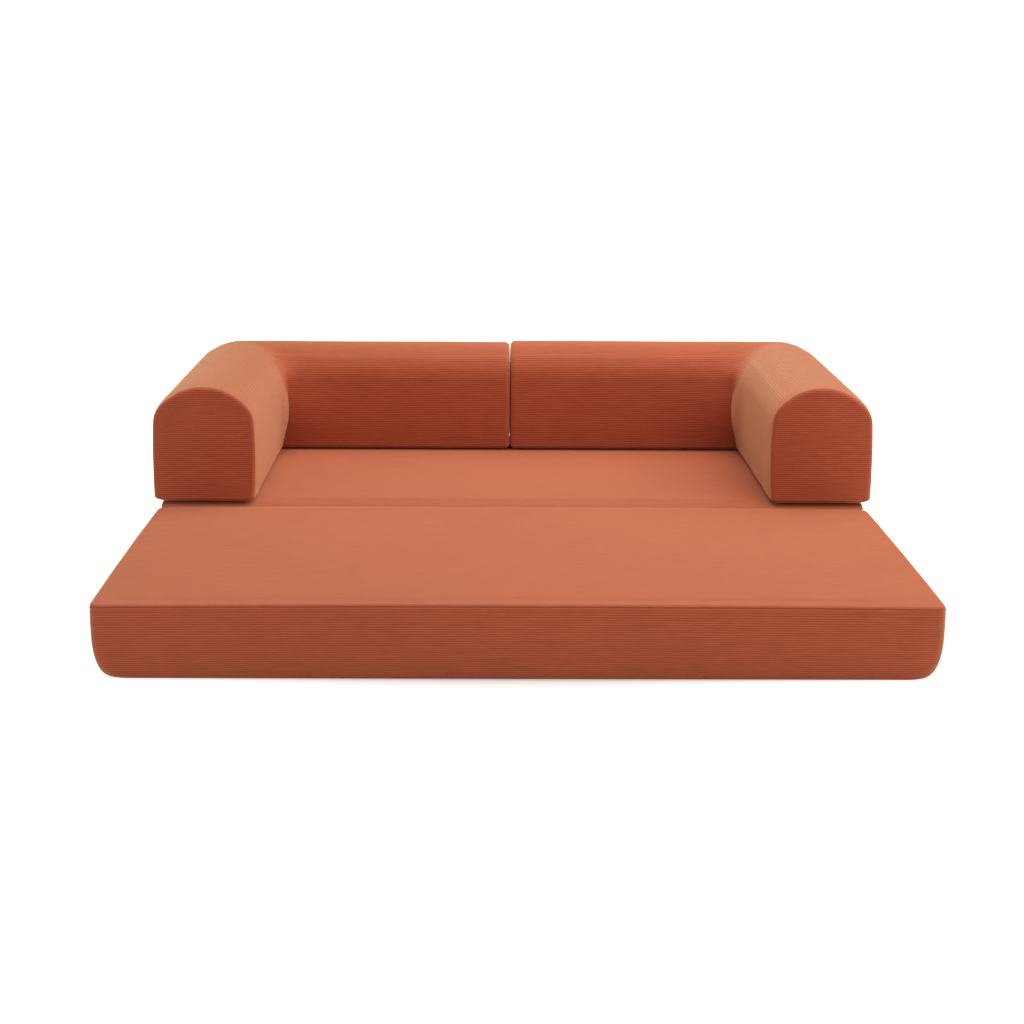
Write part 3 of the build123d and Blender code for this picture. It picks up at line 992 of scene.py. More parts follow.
def outline_columns(slab, turns=6):
    """The columns round a mattress, each a start corner, an end corner, a share between them and a normal."""
    corners = [(1, -1), (1, 1), (-1, 1), (-1, -1)]
    normals = [(1, 0), (0, 1), (-1, 0), (0, -1)]
    columns = []
    for k in range(4):
        here, there = corners[k], corners[(k + 1) % 4]
        side = 2 * slab.half[1 - k % 2]
        count = round(side / WALL_STEP)
        for share_between in np.arange(count + 1) / count:
            columns.append((here, there, share_between, normals[k]))
        first, second = normals[k], normals[(k + 1) % 4]
        for turn in np.arange(1, turns) / turns * pi / 2:
            normal = (
                first[0] * cos(turn) + second[0] * sin(turn),
                first[1] * cos(turn) + second[1] * sin(turn),
            )
            columns.append((there, there, 0.0, normal))
    columns.append((corners[0], corners[1], 0.0, normals[0]))
    return columns


def band(down, middle, half):
    """A hump from 0 to 1 and back over a band of the wall, whose middle is so far down from the top edge."""
    return np.clip(1.0 - ((down - middle) / half) ** 2, 0.0, None)


# The folded seam below the top edge, and the stitched groove under it: the middle, half the width, the share
WELT_MIDDLE, WELT_HALF = 0.0045, 0.003
GROOVE_MIDDLE, GROOVE_HALF, GROOVE_SHARE = 0.0085, 0.0016, 0.7


def wall_panel(slab):
    """A mattress's wall all the way round, whose ribs run level."""
    cloth = bpy.context.scene.sofa_cloth
    section = wall_section(slab)
    span = run_length(section)
    rows = ROWS_PER_RIB * rib_rows(span)
    down = np.linspace(0, span, rows + 1)
    profile, lean = walk(section, down)
    columns = outline_columns(slab)
    start = np.array([c[0] for c in columns], dtype=float)
    end = np.array([c[1] for c in columns], dtype=float)
    between = np.array([c[2] for c in columns])[:, None]
    normal = np.array([c[3] for c in columns], dtype=float)
    outline = ring(slab, start, end, between, normal, np.zeros(len(columns)))
    around = np.concatenate([[0.0], np.cumsum(np.hypot(*np.diff(outline, axis=0).T))])

    def place(row, column):
        inset = profile[row, 0]
        flat = ring(slab, start[column], end[column], between[column], normal[column], inset)
        height = profile[row, 1]
        local = flat - slab.middle
        fall = slab.crown(local[:, 0], local[:, 1]) * height / slab.top
        relief = cloth.depth * (rib_share(row) - 1.0) - tuck(down[row])
        relief += slab.shape.welt * band(down[row], WELT_MIDDLE, WELT_HALF)
        relief -= GROOVE_SHARE * slab.shape.welt * band(down[row], GROOVE_MIDDLE, GROOVE_HALF)
        at_seam = normal[column][:, 1] * slab.seam_side > 0.5
        relief = np.maximum(np.where(at_seam, np.minimum(relief, 0.0), relief), -cloth.deepest)
        outward = -lean[row, 0] * relief
        points = np.concatenate([flat, (height - fall)[:, None]], axis=1)
        points[:, :2] += normal[column] * outward[:, None]
        points[:, 2] = np.maximum(points[:, 2] + lean[row, 1] * relief, LEAST_HEIGHT)
        lie = np.stack([around[column], down[row]], axis=-1)
        return slab.softened(points), rib_share(row), lie

    wall = cloth_panel(f"{slab.name}_wall", rows, len(columns) - 1, place)
    wall.flip_normals()
    return wall


def ring(slab, start, end, between, normal, inset):
    """Points on a mattress's outline drawn in by an inset, with rounder far corners where it is drawn in."""
    shape = slab.shape
    drawn = np.clip(inset / shape.draw_in, 0.0, 1.0)
    under = np.clip((inset - shape.draw_in) / shape.lip, 0.0, 1.0)

    def corner_point(corner):
        at_seam = corner[:, 1] * slab.seam_side > 0
        far_radius = shape.corner + (shape.floor_corner - shape.corner) * drawn
        far_radius += (shape.under_corner - shape.floor_corner) * under
        seam_radius = shape.seam_corner * np.exp(-inset / shape.seam_sharpen)
        radius = np.where(at_seam, seam_radius, far_radius)
        core_x = slab.half[0] - inset - radius
        core_y = slab.half[1] - np.where(at_seam, shape.seam_lip * under, inset) - radius
        return corner * np.stack([core_x, core_y], axis=-1) + normal * radius[:, None]

    return slab.middle + (1 - between) * corner_point(start) + between * corner_point(end)


# How far from a module the seat's cloth stays flat
CLEAR_OF_MODULE = 0.01


def mattress_shares(slab, points):
    """How freely a mattress's cover may swell along each axis at each point."""
    padding = bpy.context.scene.sofa_padding
    above = ramp(points[:, 2], 0.0, padding.base_fade)
    off_seam = ramp(np.abs(points[:, 1]), 0.0, padding.seam_fade)
    wall_axis = 0 if slab.name == "front" else 1
    side = above * (1.0 - zip_band(points, f"{slab.name}_zip_tape", wall_axis))
    shares = np.stack([side, side * off_seam, above * off_seam], axis=-1)
    if slab.name == "rear":
        arm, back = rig.box("right_arm_foam")[0][0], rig.box("right_back_foam")[0][1]
        from_module = np.minimum(arm - np.abs(points[:, 0]), back - points[:, 1])
        shares[:, 2] *= ramp(from_module, CLEAR_OF_MODULE, padding.seam_fade)
    return shares


def add_mattress(name):
    """One mattress's cover as one padded piece."""
    slab = Slab(name)
    cover = joined(f"{name}_corduroy_cover", [top_panel(slab), wall_panel(slab)])
    depth = bpy.context.scene.sofa_padding.core_depth
    low, high = slab.middle - slab.half + depth, slab.middle + slab.half - depth
    core = ((*low, 0.0), (*high, slab.top - depth))
    foams = (f"{name}_base_foam", f"{name}_comfort_foam")
    fill(cover, foams, [core], lambda points: mattress_shares(slab, points))
    cover.data.materials.append(corduroy())
    finish_cover(cover, f"{name}_mattress", f"{name}_cover")
    return cover


def finish_cover(cover, body, cad_node):
    """Ties a cover to its body and says what it stands for."""
    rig.ride(cover, body)
    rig.replaces(cover, cad_node)
    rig.slot(cover, "corduroy")
    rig.padded(cover, fill=0.9)


class SOFA_OT_mattresses(bpy.types.Operator):
    """Makes the covers of the front and the rear mattress"""

    bl_idname = "sofa.mattresses"
    bl_label = "Mattress covers"

    def execute(self, context):
        for name in MATTRESSES:
            add_mattress(name)
        return {"FINISHED"}


# Modules


# How far a module's cover runs in under it, past the bottom edge's rounding
MODULE_LIP = 0.012
# How many points the section's arcs have: bottom edge, side below and above the widest line, shoulder, crown
EDGE_POINTS, LOWER_POINTS, UPPER_POINTS, SHOULDER_POINTS, CROWN_POINTS = 14, 30, 20, 40, 40


def side_radius(rise, draw_in):
    """The radius of an arc that pulls in so far over a rise."""
    return (rise ** 2 + draw_in ** 2) / (2 * draw_in)


def module_section():
    """The section of an arm or a back, from the cover's inner lip over the arch to its outer lip."""
    shape = bpy.context.scene.sofa_module
    low, high = box("right_cover")
    height = high[2] - low[2]
    half = shape.thickness / 2
    widest = shape.widest_share * height
    spring = height - shape.arch
    lower = side_radius(widest, shape.base_draw_in)
    upper = side_radius(spring - widest, shape.shoulder_draw_in)
    lean = asin((spring - widest) / upper)
    shoulder = (
        half - shape.shoulder_draw_in - shape.shoulder * cos(lean),
        spring - shape.shoulder * sin(lean),
    )
    rise = height - shoulder[1]
    crown = (shoulder[0] ** 2 + rise ** 2 - shape.shoulder ** 2) / (2 * (rise - shape.shoulder))
    turn = atan2(shoulder[1] - height + crown, shoulder[0])
    base_x, base_angle = base_corner(half, widest, lower, shape.base_edge)
    side = line_up(
        np.array([[base_x - MODULE_LIP, 0.0]]),
        arc((base_x, shape.base_edge), shape.base_edge, -90, base_angle, EDGE_POINTS),
        arc((half - lower, widest), lower, base_angle, 0, LOWER_POINTS),
        arc((half - upper, widest), upper, 0, np.degrees(lean), UPPER_POINTS),
        arc(shoulder, shape.shoulder, np.degrees(lean), np.degrees(turn), SHOULDER_POINTS),
        arc((0.0, height - crown), crown, np.degrees(turn), 90, CROWN_POINTS),
    )
    return np.concatenate([side, side[::-1][1:] * (-1, 1)])


def base_corner(half, widest, lower, radius):
    """The centre of the bottom edge's fillet and the angle at which it meets the side."""
    rise = widest - radius
    centre_x = half - lower + ((lower - radius) ** 2 - rise ** 2) ** 0.5
    return centre_x, np.degrees(atan2(-rise, centre_x - half + lower))


# The turns, in degrees, of the columns that round off an end of a module's long panel
END_TURNS = (50.0, 34.0, 17.0)


class Bend:
    """The L that the right-hand module follows, and where its sections lie."""

    def __init__(self):
        low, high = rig.box("right_cover")
        self.shape = bpy.context.scene.sofa_module
        self.half = self.shape.thickness / 2
        self.arm_x = high[0] - self.half
        self.back_y = high[1] - self.half
        self.front_y = low[1]
        self.centre_x = low[0]
        self.base_z = low[2]

    def stations(self, turns=9):
        """Columns along the L: the stretch each lies in, its share of that stretch and its turn."""
        ends = self.shape
        arm = spaced(self.back_y - self.front_y - ends.arm_end, WALL_STEP, SEAM_STATIONS)
        back = spaced(self.arm_x - self.centre_x - ends.centre_end, WALL_STEP, SEAM_STATIONS)
        columns = [("arm_end", angle, 0.0) for angle in END_TURNS]
        columns += [("arm", share_along, 0.0) for share_along in arm / arm[-1]]
        columns += [("turn", 0.0, turn) for turn in np.arange(1, turns) / turns * pi / 2]
        columns += [("back", share_along, pi / 2) for share_along in back / back[-1]]
        columns += [("centre_end", angle, pi / 2) for angle in END_TURNS[::-1]]
        return columns


def bend_point(bend, column, u, nu):
    """Where a section's points lie at one station: x, y, the outward direction in plan and an extra inset."""
    stretch, at, turn = column
    inner = np.minimum(u, 0.0)
    ends = bend.shape
    if stretch == "arm_end":
        back = ends.arm_end * (1 - sin(radians(at)))
        inset = ends.arm_end * (1 - cos(radians(at)))
        return bend.arm_x + u, bend.front_y + back + 0 * u, nu, 0 * u, inset
    if stretch == "arm":
        start = bend.front_y + ends.arm_end
        return bend.arm_x + u, start + at * (bend.back_y + inner - start), nu, 0 * u, 0.0
    if stretch == "turn":
        x = bend.arm_x + np.where(u > 0, u * cos(turn), u)
        y = bend.back_y + np.where(u > 0, u * sin(turn), u)
        return x, y, nu * cos(turn), nu * sin(turn), 0.0
    if stretch == "back":
        stop = bend.centre_x + ends.centre_end
        start = bend.arm_x + inner
        return start + at * (stop - start), bend.back_y + u, 0 * u, nu, 0.0
    out = ends.centre_end * (1 - sin(radians(at)))
    inset = ends.centre_end * (1 - cos(radians(at)))
    return bend.centre_x + out + 0 * u, bend.back_y + u, 0 * u, nu, inset


# How much wider than a seam's the dip along the corner's mitre is, as a share that distances there count for
MITRE_SHARE = 0.5


def tube_panel(bend, section):
    """A module's long cover panel: over the arm, round the corner and along the back."""
    cloth = bpy.context.scene.sofa_cloth
    span = run_length(section)
    rows = ROWS_PER_RIB * rib_rows(span)
    around = np.linspace(0, span, rows + 1)
    flat, lean = walk(section, around)
    columns = bend.stations()
    run = np.zeros(len(columns))
    middle = None
    layout = []
    for k, column in enumerate(columns):
        across = flat[:, 0] - corner_swell(bend, column, flat)
        x, y, nx, ny, inset = bend_point(bend, column, across, lean[:, 0])
        if column[0] in ("arm", "turn", "back"):
            x, y, nx, ny = rounded_inside(bend, column, flat, (x, y, nx, ny))
        relief = cloth.depth * (rib_share(np.arange(rows + 1)) - 1.0)
        if k in (0, len(columns) - 1):
            relief -= cloth.tuck
        to_mitre = mitre_distance(bend, column, flat[:, 0])
        relief -= np.where(flat[:, 0] < 0, tuck(to_mitre * MITRE_SHARE), 0.0) * (1.0 - over_arch(flat))
        relief = np.maximum(relief, -cloth.deepest) - inset
        points = np.stack([x + nx * relief, y + ny * relief, flat[:, 1] + lean[:, 1] * relief], axis=-1)
        points[:, 2] = np.maximum(points[:, 2], LEAST_HEIGHT) + bend.base_z
        layout.append(points)
        here = points[rows // 4]
        run[k] = run[k - 1] + float(np.linalg.norm(here - middle)) if k else 0.0
        middle = here
    layout = np.array(layout)

    def place(row, column):
        lie = np.stack([run[column], around[row]], axis=-1)
        return layout[column, row], rib_share(row), lie

    return cloth_panel("module_tube", rows, len(columns) - 1, place)


# The shares of the height between which the corner's inside goes over from a mitre to a rounding
MITRE_END_SHARE = 0.45
ROUND_START_SHARE = 0.85
# The power of the height that the corner's swelling follows: below 1, it is at its most lower down
SWELL_POWER = 0.8
LEAST_RADIUS = 0.0001


def over_arch(flat):
    """The share by which a row lies over the arch and no longer on the side."""
    return ramp(flat[:, 1] / flat[:, 1].max(), MITRE_END_SHARE, ROUND_START_SHARE)


def rounded_inside(bend, column, flat, plan):
    """The places and directions in plan again, with the inside of the corner rounded over the arch."""
    x, y, nx, ny = plan
    radius = bend.shape.inside_share * np.maximum(-flat[:, 0], 0.0) * over_arch(flat)
    apart = mitre_distance(bend, column, flat[:, 0])
    turned = pi / 4 * np.clip(1.0 - apart / np.maximum(radius, LEAST_RADIUS), 0.0, 1.0) * (radius > 0)
    into = radius * (1 - np.cos(turned))
    along = np.where(turned > 0, radius * (1 - np.sin(turned)) - apart, 0.0)
    if column[0] == "arm":
        return x - into, y - along, nx * np.cos(turned), nx * np.sin(turned)
    if column[0] == "back":
        return x - along, y - into, ny * np.sin(turned), ny * np.cos(turned)
    return x - into, y - into, nx, ny


def corner_swell(bend, column, flat):
    """How far the inner side stands out near the corner where arm and back meet."""
    shape = bend.shape
    inside = np.clip(-flat[:, 0] / bend.half, 0.0, 1.0)
    height = np.clip(flat[:, 1] / flat[:, 1].max(), 0.0, 1.0)
    hump = np.sin(pi * height ** SWELL_POWER) ** 2 * inside ** 2
    apart = mitre_distance(bend, column, flat[:, 0])
    return shape.corner_swell * hump * np.exp(-((apart / shape.swell_reach) ** 2))


def mitre_distance(bend, column, u):
    """How far along the L a station is from the corner's mitre."""
    stretch, at, _ = column
    inner = np.minimum(u, 0.0)
    if stretch == "arm":
        start = bend.front_y + bend.shape.arm_end
        return (1 - at) * (bend.back_y + inner - start)
    if stretch == "back":
        return at * (bend.arm_x + inner - bend.centre_x - bend.shape.centre_end)
    return 0 * u if stretch == "turn" else 0 * u + 1.0


# The rows of an end panel's toe and how far it runs in, in radii of the border. Then the shares of the half width at
# which columns lie near an edge, how far apart the others are, and how many points are compared at once
TOE_ROWS = 4
TOE_REACH = 1.5
CAP_STATIONS = (0.0, 0.007, 0.016, 0.03, 0.055, 0.1, 0.17)
CAP_STEP = 0.22
SECTION_POINTS = 900
BATCH = 2000


def cap_panel(section, radius, name):
    """The panel that closes an end, flat in XZ at the origin, with level ribs, a rounded border and a toe
    that turns in underneath."""
    cloth = bpy.context.scene.sofa_cloth
    start = radius * (1 - cos(radians(END_TURNS[0])))
    places, lean = walk(section, np.linspace(0, run_length(section), SECTION_POINTS))
    inner = places - lean * start
    right = inner[(inner[:, 0] >= 0) & (inner[:, 1] > start * 1.001)]
    right = right[np.argsort(right[:, 1])]
    high = right[-1, 1]
    rows = ROWS_PER_RIB * rib_rows(high - start)
    toe = np.linspace(0.0, start, TOE_ROWS + 1)[:-1]
    levels = np.concatenate([[0.0], toe, np.linspace(start, high, rows + 1)])
    widths = np.interp(levels, right[:, 1], right[:, 0])
    widths[-1] = 0.0
    stations = spaced(2.0, CAP_STEP, CAP_STATIONS) - 1.0

    def place(row, column):
        x = widths[row] * stations[column]
        z = levels[row]
        gap = np.full(len(x), 1.0)
        for begin in range(0, len(x), BATCH):
            part = slice(begin, begin + BATCH)
            apart = np.hypot(x[part, None] - places[None, :, 0], z[part, None] - places[None, :, 1])
            gap[part] = apart.min(axis=1)
        inward = np.clip(radius - np.minimum(gap, z), 0.0, radius)
        back = radius - np.sqrt(radius ** 2 - inward ** 2)
        phase = np.where(row <= TOE_ROWS, 1.0, rib_share(row - TOE_ROWS - 1))
        relief = cloth.depth * (1.0 - phase) + np.where(row <= TOE_ROWS, 0.0, tuck(gap - start))
        back = back + relief + np.where(row == 0, TOE_REACH * radius, 0.0)
        points = np.stack([x, back, np.maximum(z, LEAST_HEIGHT)], axis=-1)
        return points, phase, np.stack([x, z], axis=-1)

    return cloth_panel(name, len(levels) - 1, len(stations) - 1, place)


def add_modules():
    """The two modules' covers: the right-hand one, and its mirror image."""
    bend = Bend()
    section = module_section()
    tube = tube_panel(bend, section)
    arm_cap = cap_panel(section, bend.shape.arm_end, "arm_cap")
    centre_cap = cap_panel(section, bend.shape.centre_end, "centre_cap")
    arm_cap.transform(Matrix.Translation((bend.arm_x, bend.front_y, bend.base_z)))
    centre = Matrix.Translation((bend.centre_x, bend.back_y, bend.base_z))
    centre_cap.transform(centre @ Matrix.Rotation(radians(-90), 4, "Z"))
    right = joined("right_corduroy_cover", [tube, arm_cap, centre_cap])
    right.data.materials.append(corduroy())
    outward(right.data)
    foams = ("right_arm_foam", "right_back_foam")
    fill(right, foams, module_cores(bend), lambda points: module_shares(bend, points))
    left = linked("left_corduroy_cover", right.data.copy())
    left.data.transform(Matrix.Diagonal((-1, 1, 1, 1)))
    left.data.flip_normals()
    base = Matrix.Translation((0.0, 0.0, bend.base_z))
    heights = (("left", left, bend.shape.left_height), ("right", right, bend.shape.right_height))
    for side, cover, height in heights:
        cover.data.transform(base @ Matrix.Diagonal((1, 1, height, 1)) @ base.inverted())
        finish_cover(cover, f"{side}_module", f"{side}_cover")


def module_cores(bend):
    """A box inside the right module's arm and one inside its back."""
    depth = bpy.context.scene.sofa_padding.core_depth
    reach = bend.half - depth
    high = (bend.arm_x + reach, bend.back_y + reach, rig.box("right_cover")[1][2] - depth)
    arm = (bend.arm_x - reach, bend.front_y + depth, bend.base_z)
    back = (bend.centre_x, bend.back_y - reach, bend.base_z)
    return (arm, high), (back, high)


def module_shares(bend, points):
    """How freely a module's cover may swell along each axis at each point."""
    padding = bpy.context.scene.sofa_padding
    above = ramp(points[:, 2] - bend.base_z, 0.0, padding.module_fade)
    off_centre = ramp(points[:, 0] - bend.centre_x, 0.0, padding.seam_fade)
    low_share = np.clip(1.0 - (points[:, 2] - bend.base_z) / bend.half, 0.0, 1.0)
    side = above * (1.0 + padding.base_spread * low_share ** 2)
    side = side * (1.0 - zip_band(points, "right_zip_tape", 1))
    spread = 1.0 + padding.arm_spread * ramp(points[:, 0] - bend.arm_x, 0.0, bend.half)
    return np.stack([side * off_centre * spread, side, above], axis=-1)


def outward(mesh):
    """Turns a closed shell's faces outward."""
    bm = bmesh.new()
    bm.from_mesh(mesh)
    bmesh.ops.recalc_face_normals(bm, faces=bm.faces)
    bm.to_mesh(mesh)
    bm.free()


class SOFA_OT_modules(bpy.types.Operator):
    """Makes the covers of the two L-shaped modules"""

    bl_idname = "sofa.modules"
    bl_label = "Module covers"

    def execute(self, context):
        add_modules()
        return {"FINISHED"}


# Zips and webbing


# The bevel of a small block, as a share of its least size
BEVEL_SHARE = 0.28


def small_block(size):
    """A small block with rounded edges."""
    bm = bmesh.new()
    bmesh.ops.create_cube(bm, size=1.0)
    bmesh.ops.scale(bm, vec=size, verts=bm.verts)
    offset = min(size) * BEVEL_SHARE
    bmesh.ops.bevel(bm, geom=bm.edges[:], offset=offset, segments=1, profile=0.5, affect="EDGES", material=-1)
    return new_mesh("block", bm)


def row_of(mesh, span, pitch, place):
    """A mesh repeated along X over a span, in the middle of it, moved to a place."""
    count = max(1, int(span / pitch))
    row = linked("row", mesh)
    array = row.modifiers.new("row", "ARRAY")
    array.use_relative_offset = False
    array.use_constant_offset = True
    array.constant_offset_displace = (pitch, 0.0, 0.0)
    array.count = count
    made = evaluated(row)
    bpy.data.objects.remove(row)
    made.transform(Matrix.Translation((place[0] - pitch * (count - 1) / 2, place[1], place[2])))
    return made


# How far apart a strip's columns are
STRIP_STEP = 0.02


def strip_mesh(span, profile):
    """A strip along X whose cross-section is a line of points across and up."""
    rows = len(profile) - 1
    mesh = grid("strip", max(1, round(span / STRIP_STEP)), rows)
    for vertex in mesh.vertices:
        across, up = profile[round((vertex.co.y + 0.5) * rows)]
        vertex.co = (vertex.co.x * span, across, up)
    return mesh


def tape_profile():
    """Half a zip tape and its mirror image: edge, hem, flat and the step up to the teeth."""
    zips = bpy.context.scene.sofa_zips
    half = [
        (zips.tape, -zips.sunk),
        (zips.tape, zips.thick * 0.8),
        (zips.tape - zips.hem * 0.3, zips.thick * 1.4),
        (zips.tape - zips.hem, zips.thick * 1.4),
        (zips.tape - zips.hem * 1.2, zips.thick),
        (zips.tooth[1], zips.thick),
        (zips.tooth[1] * 0.8, zips.thick * 1.5),
        (zips.tooth_offset * 0.3, zips.thick * 1.5),
        (zips.tooth_offset * 0.1, 0.0),
    ]
    return [(-across, up) for across, up in half] + [(across, up) for across, up in reversed(half)]


def zip_frame(name):
    """A zip's length and the matrix that puts it from the origin on to its wall."""
    module = bpy.context.scene.sofa_module
    low, high = box(f"{name}_zip_tape")
    if name == "front":
        along, normal, span = Vector((0, 1, 0)), Vector((1, 0, 0)), high[1] - low[1]
    elif name == "rear":
        along, normal, span = Vector((-1, 0, 0)), Vector((0, 1, 0)), high[0] - low[0]
    else:
        cover_low, cover_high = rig.box("right_cover")
        widest = module.widest_share * (cover_high[2] - cover_low[2])
        lower = side_radius(widest, module.base_draw_in)
        dip = asin((cover_low[2] + widest - (low[2] + high[2]) / 2) / lower)
        along, normal, span = Vector((-1, 0, 0)), Vector((0, cos(dip), -sin(dip))), high[0] - low[0]
    across = normal.cross(along)
    turned = Matrix((along, across, normal)).transposed().to_4x4()
    middle = Vector((low + high) / 2) - normal * bpy.context.scene.sofa_zips.above
    return span, Matrix.Translation(middle) @ turned


def coloured(mesh, material):
    """A mesh with one smooth material."""
    mesh.materials.clear()
    mesh.materials.append(material)
    return mesh


def add_zip(name, body, materials):
    """One zip in place of the frame's plain tape: tape, two rows of teeth, stitches and end stops."""
    zips = bpy.context.scene.sofa_zips
    tape, coil, thread = materials
    span, place = zip_frame(name)
    inner = span - 2 * zips.stop[0]
    tooth = small_block(zips.tooth)
    stop = small_block(zips.stop)
    stitch = small_block(zips.stitch)
    rise = zips.thick + zips.tooth[2] / 4
    meshes = [coloured(strip_mesh(span, tape_profile()), tape)]
    for side, shift in ((-1, 0.0), (1, zips.tooth_pitch / 2)):
        teeth = row_of(tooth, inner, zips.tooth_pitch, (shift, side * zips.tooth_offset, rise))
        line = row_of(stitch, inner, zips.stitch_pitch, (0.0, side * zips.stitch_line, zips.thick))
        end = row_of(stop, zips.stop[0], zips.stop[0], (side * (span - zips.stop[0]) / 2, 0.0, zips.thick))
        meshes += [coloured(teeth, coil), coloured(line, thread), coloured(end, coil)]
    made = joined(f"{name}_zip", meshes)
    made.data.transform(place)
    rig.ride(made, body)
    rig.replaces(made, f"{name}_zip_tape")
    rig.slot(made, "zip_tape")


# The webbing's rows across, the shares of its thickness at which its faces lie, and one part of how many of each
# leaf bends with the fold
WEBBING_ROWS = 57
UPPER_SHARE, UNDER_SHARE = 0.95, 0.05
BEND_PARTS = 7


def add_webbing():
    """The webbing that hinges the mattresses, as one strip across their seam."""
    low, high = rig.box("front_hinge_leaf")
    _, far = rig.box("rear_hinge_leaf")
    thick = high[2] - low[2]
    edges = np.linspace(low[1], far[1], WEBBING_ROWS)
    profile = [(edges[0], 0.0)] + [(across, thick * UPPER_SHARE) for across in edges] + [(edges[-1], 0.0)]
    under = [(across, thick * UNDER_SHARE) for across in reversed(edges)]
    mesh = strip_mesh(high[0] - low[0], profile + under + [profile[0]])
    webbing = joined("hinge_webbing", [coloured(mesh, bpy.data.materials["woven_hinge_webbing"])])
    near, beyond = (0, edges[-1] / BEND_PARTS, 0), (0, edges[0] / BEND_PARTS, 0)
    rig.blend(webbing, "rear_mattress", "front_mattress", start=near, end=beyond)
    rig.replaces(webbing, "rear_hinge_leaf", "front_hinge_leaf")
    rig.slot(webbing, "hinge_webbing")


class SOFA_OT_trim(bpy.types.Operator):
    """Makes the zips and the hinge webbing, and finishes every part that the frame brings"""

    bl_idname = "sofa.trim"
    bl_label = "Zips, webbing and finishes"

    def execute(self, context):
        trim = context.scene.sofa_trim
        finish_nodes()
        materials = (
            bpy.data.materials["woven_zip_tape"],
            plastic_material("zip_nylon", trim.coil, 0.35),
            plastic_material("stitching_thread", trim.thread, 0.6),
        )
        for name in MATTRESSES:
            add_zip(name, f"{name}_mattress", materials)
        for name in SIDES:
            add_zip(name, f"{name}_module", materials)
        add_webbing()
        return {"FINISHED"}


# Studio


# How much the floor's distances count for along X and Y where its glow begins
GLOW_SHARES = (0.72, 0.66, 0.0)
# How far below the sofa bed the floor lies, so that the two don't meet, and the depth that its squash holds still
FLOOR_GAP = 0.0002
HELD_DEPTH = 1.0


def floor_material():
    """A pale floor that glows white away from the sofa bed, so that only the shadow under it shows."""
    studio = bpy.context.scene.sofa_studio
    material, tree, shader = new_material("studio_floor")
    flat = node(tree, "ShaderNodeVectorMath", {"operation": "MULTIPLY"}, [own_place(tree), GLOW_SHARES])
    reach = node(tree, "ShaderNodeVectorMath", {"operation": "LENGTH"}, [flat], output=1)
    far = node(tree, "ShaderNodeMapRange", {}, {0: reach, 1: studio.glow_start, 2: studio.glow_full})
    seen = node(tree, "ShaderNodeLightPath")
    strength = seen * (1.0 - studio.floor_glow) + studio.floor_glow
    feed(tree, shader, {
        "Emission Color": node(tree, "ShaderNodeValToRGB", {}, [far * strength]),
        "Emission Strength": 1.0,
        "Base Color": (0.82, 0.815, 0.81, 1.0),
        "Roughness": 0.9,
        "Specular IOR Level": 0.1,
    })
    return material


def add_floor():
    """A wide pale floor."""
    studio = bpy.context.scene.sofa_studio
    bm = bmesh.new()
    bmesh.ops.create_circle(bm, cap_ends=True, segments=96, radius=studio.floor_radius)
    bmesh.ops.translate(bm, vec=(0.0, 0.0, -FLOOR_GAP), verts=bm.verts)
    floor = linked("studio_floor", new_mesh("studio_floor", bm))
    floor.data.materials.append(floor_material())
    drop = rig.box("front_cover")[1][2] + studio.fold_room
    anchor = (0, 0, -HELD_DEPTH)
    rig.squash(floor, "front_mattress_fold", axis=(0, 0, 1), anchor=anchor, keep=HELD_DEPTH - drop)
    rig.stage(floor)


def add_light():
    """A large soft square light aimed at the sofa bed."""
    studio = bpy.context.scene.sofa_studio
    data = bpy.data.lights.new("key", "AREA")
    data.shape = "RECTANGLE"
    data.size = data.size_y = studio.key_size
    data.energy = studio.key_power
    light = linked("key", data)
    light.location = studio.key_place
    aim = Vector(studio.key_target) - Vector(studio.key_place)
    light.rotation_euler = aim.to_track_quat("-Z", "Y").to_euler()


# The nearest and the farthest that the camera sees
CLIP_START, CLIP_END = 0.1, 200.0


def add_camera():
    """The camera at the photograph's angle."""
    studio = bpy.context.scene.sofa_studio
    pitch, yaw, roll = (radians(v) for v in (studio.pitch, studio.yaw, studio.roll))
    ahead = Vector((sin(yaw) * cos(pitch), cos(yaw) * cos(pitch), -sin(pitch)))
    right = Vector((cos(yaw), -sin(yaw), 0.0))
    up = right.cross(ahead)
    right, up = right * cos(roll) + up * sin(roll), up * cos(roll) - right * sin(roll)
    data = bpy.data.cameras.new("camera")
    data.lens = studio.lens
    data.clip_start, data.clip_end = CLIP_START, CLIP_END
    camera = linked("camera", data)
    turned = Matrix((right, up, -ahead)).transposed().to_4x4()
    camera.matrix_world = Matrix.Translation(studio.camera_place) @ turned
    bpy.context.scene.camera = camera


def add_world():
    """Soft light from all round, and a white backdrop beyond the floor."""
    studio = bpy.context.scene.sofa_studio
    world = bpy.data.worlds.new("studio")
    world.use_nodes = True
    tree = world.node_tree
    sky = tree.nodes["Background"]
    sky.inputs["Color"].default_value = (1.0, 1.0, 1.0, 1.0)
    path = node(tree, "ShaderNodeLightPath")
    strength = path * (studio.backdrop - studio.ambient) + studio.ambient
    tree.links.new(strength.socket, sky.inputs["Strength"])
    bpy.context.scene.world = world


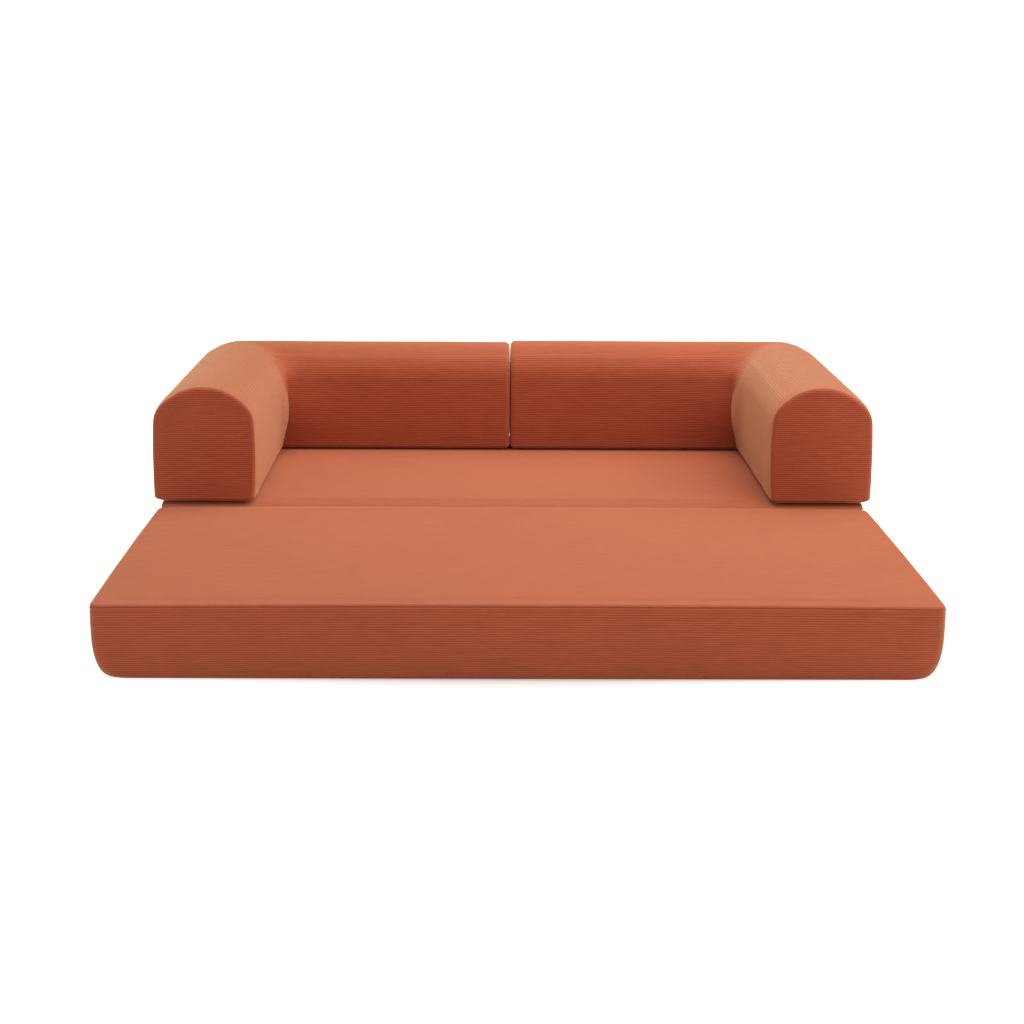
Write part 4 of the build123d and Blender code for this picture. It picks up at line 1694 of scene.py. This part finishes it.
class SOFA_OT_stage(bpy.types.Operator):
    """Makes the floor, the lights, the backdrop and the camera"""

    bl_idname = "sofa.stage"
    bl_label = "Studio"

    def execute(self, context):
        add_floor()
        add_world()
        add_light()
        add_camera()
        context.scene.view_settings.view_transform = "Standard"
        context.scene.view_settings.look = "None"
        return {"FINISHED"}


class SOFA_PT_panel(bpy.types.Panel):
    """The sofa bed's operators, in the order in which they run"""

    bl_label = "Sofa bed"
    bl_space_type = "VIEW_3D"
    bl_region_type = "UI"
    bl_category = "Sofa bed"

    def draw(self, context):
        for operator in OPERATORS:
            self.layout.operator(operator.bl_idname)
        for group_name, group in GROUPS.items():
            for name in group.__annotations__:
                label = name.replace("_", " ").capitalize()
                self.layout.prop(getattr(context.scene, group_name), name, text=label)


GROUPS = {
    "sofa_cloth": CorduroySizes,
    "sofa_mattress": MattressSizes,
    "sofa_module": ModuleSizes,
    "sofa_padding": PaddingSettings,
    "sofa_zips": ZipSizes,
    "sofa_trim": TrimColours,
    "sofa_studio": StudioSettings,
}
OPERATORS = (SOFA_OT_mattresses, SOFA_OT_modules, SOFA_OT_trim, SOFA_OT_stage)


def register():
    for name, group in GROUPS.items():
        bpy.utils.register_class(group)
        setattr(bpy.types.Scene, name, PointerProperty(type=group))
    for operator in OPERATORS:
        bpy.utils.register_class(operator)
    bpy.utils.register_class(SOFA_PT_panel)


def unregister():
    bpy.utils.unregister_class(SOFA_PT_panel)
    for operator in reversed(OPERATORS):
        bpy.utils.unregister_class(operator)
    for name, group in GROUPS.items():
        delattr(bpy.types.Scene, name)
        bpy.utils.unregister_class(group)


def main():
    """Makes every piece and the stage, and writes down the two boxes."""
    register()
    bpy.ops.sofa.mattresses()
    bpy.ops.sofa.modules()
    bpy.ops.sofa.trim()
    bpy.ops.sofa.stage()
    low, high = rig.bounds()
    with open(SIZE_FILE, "w") as sizes:
        json.dump({"cad": [list(cad_low), list(cad_high)], "visual": [list(low), list(high)]}, sizes)


if __name__ == "__main__":
    main()
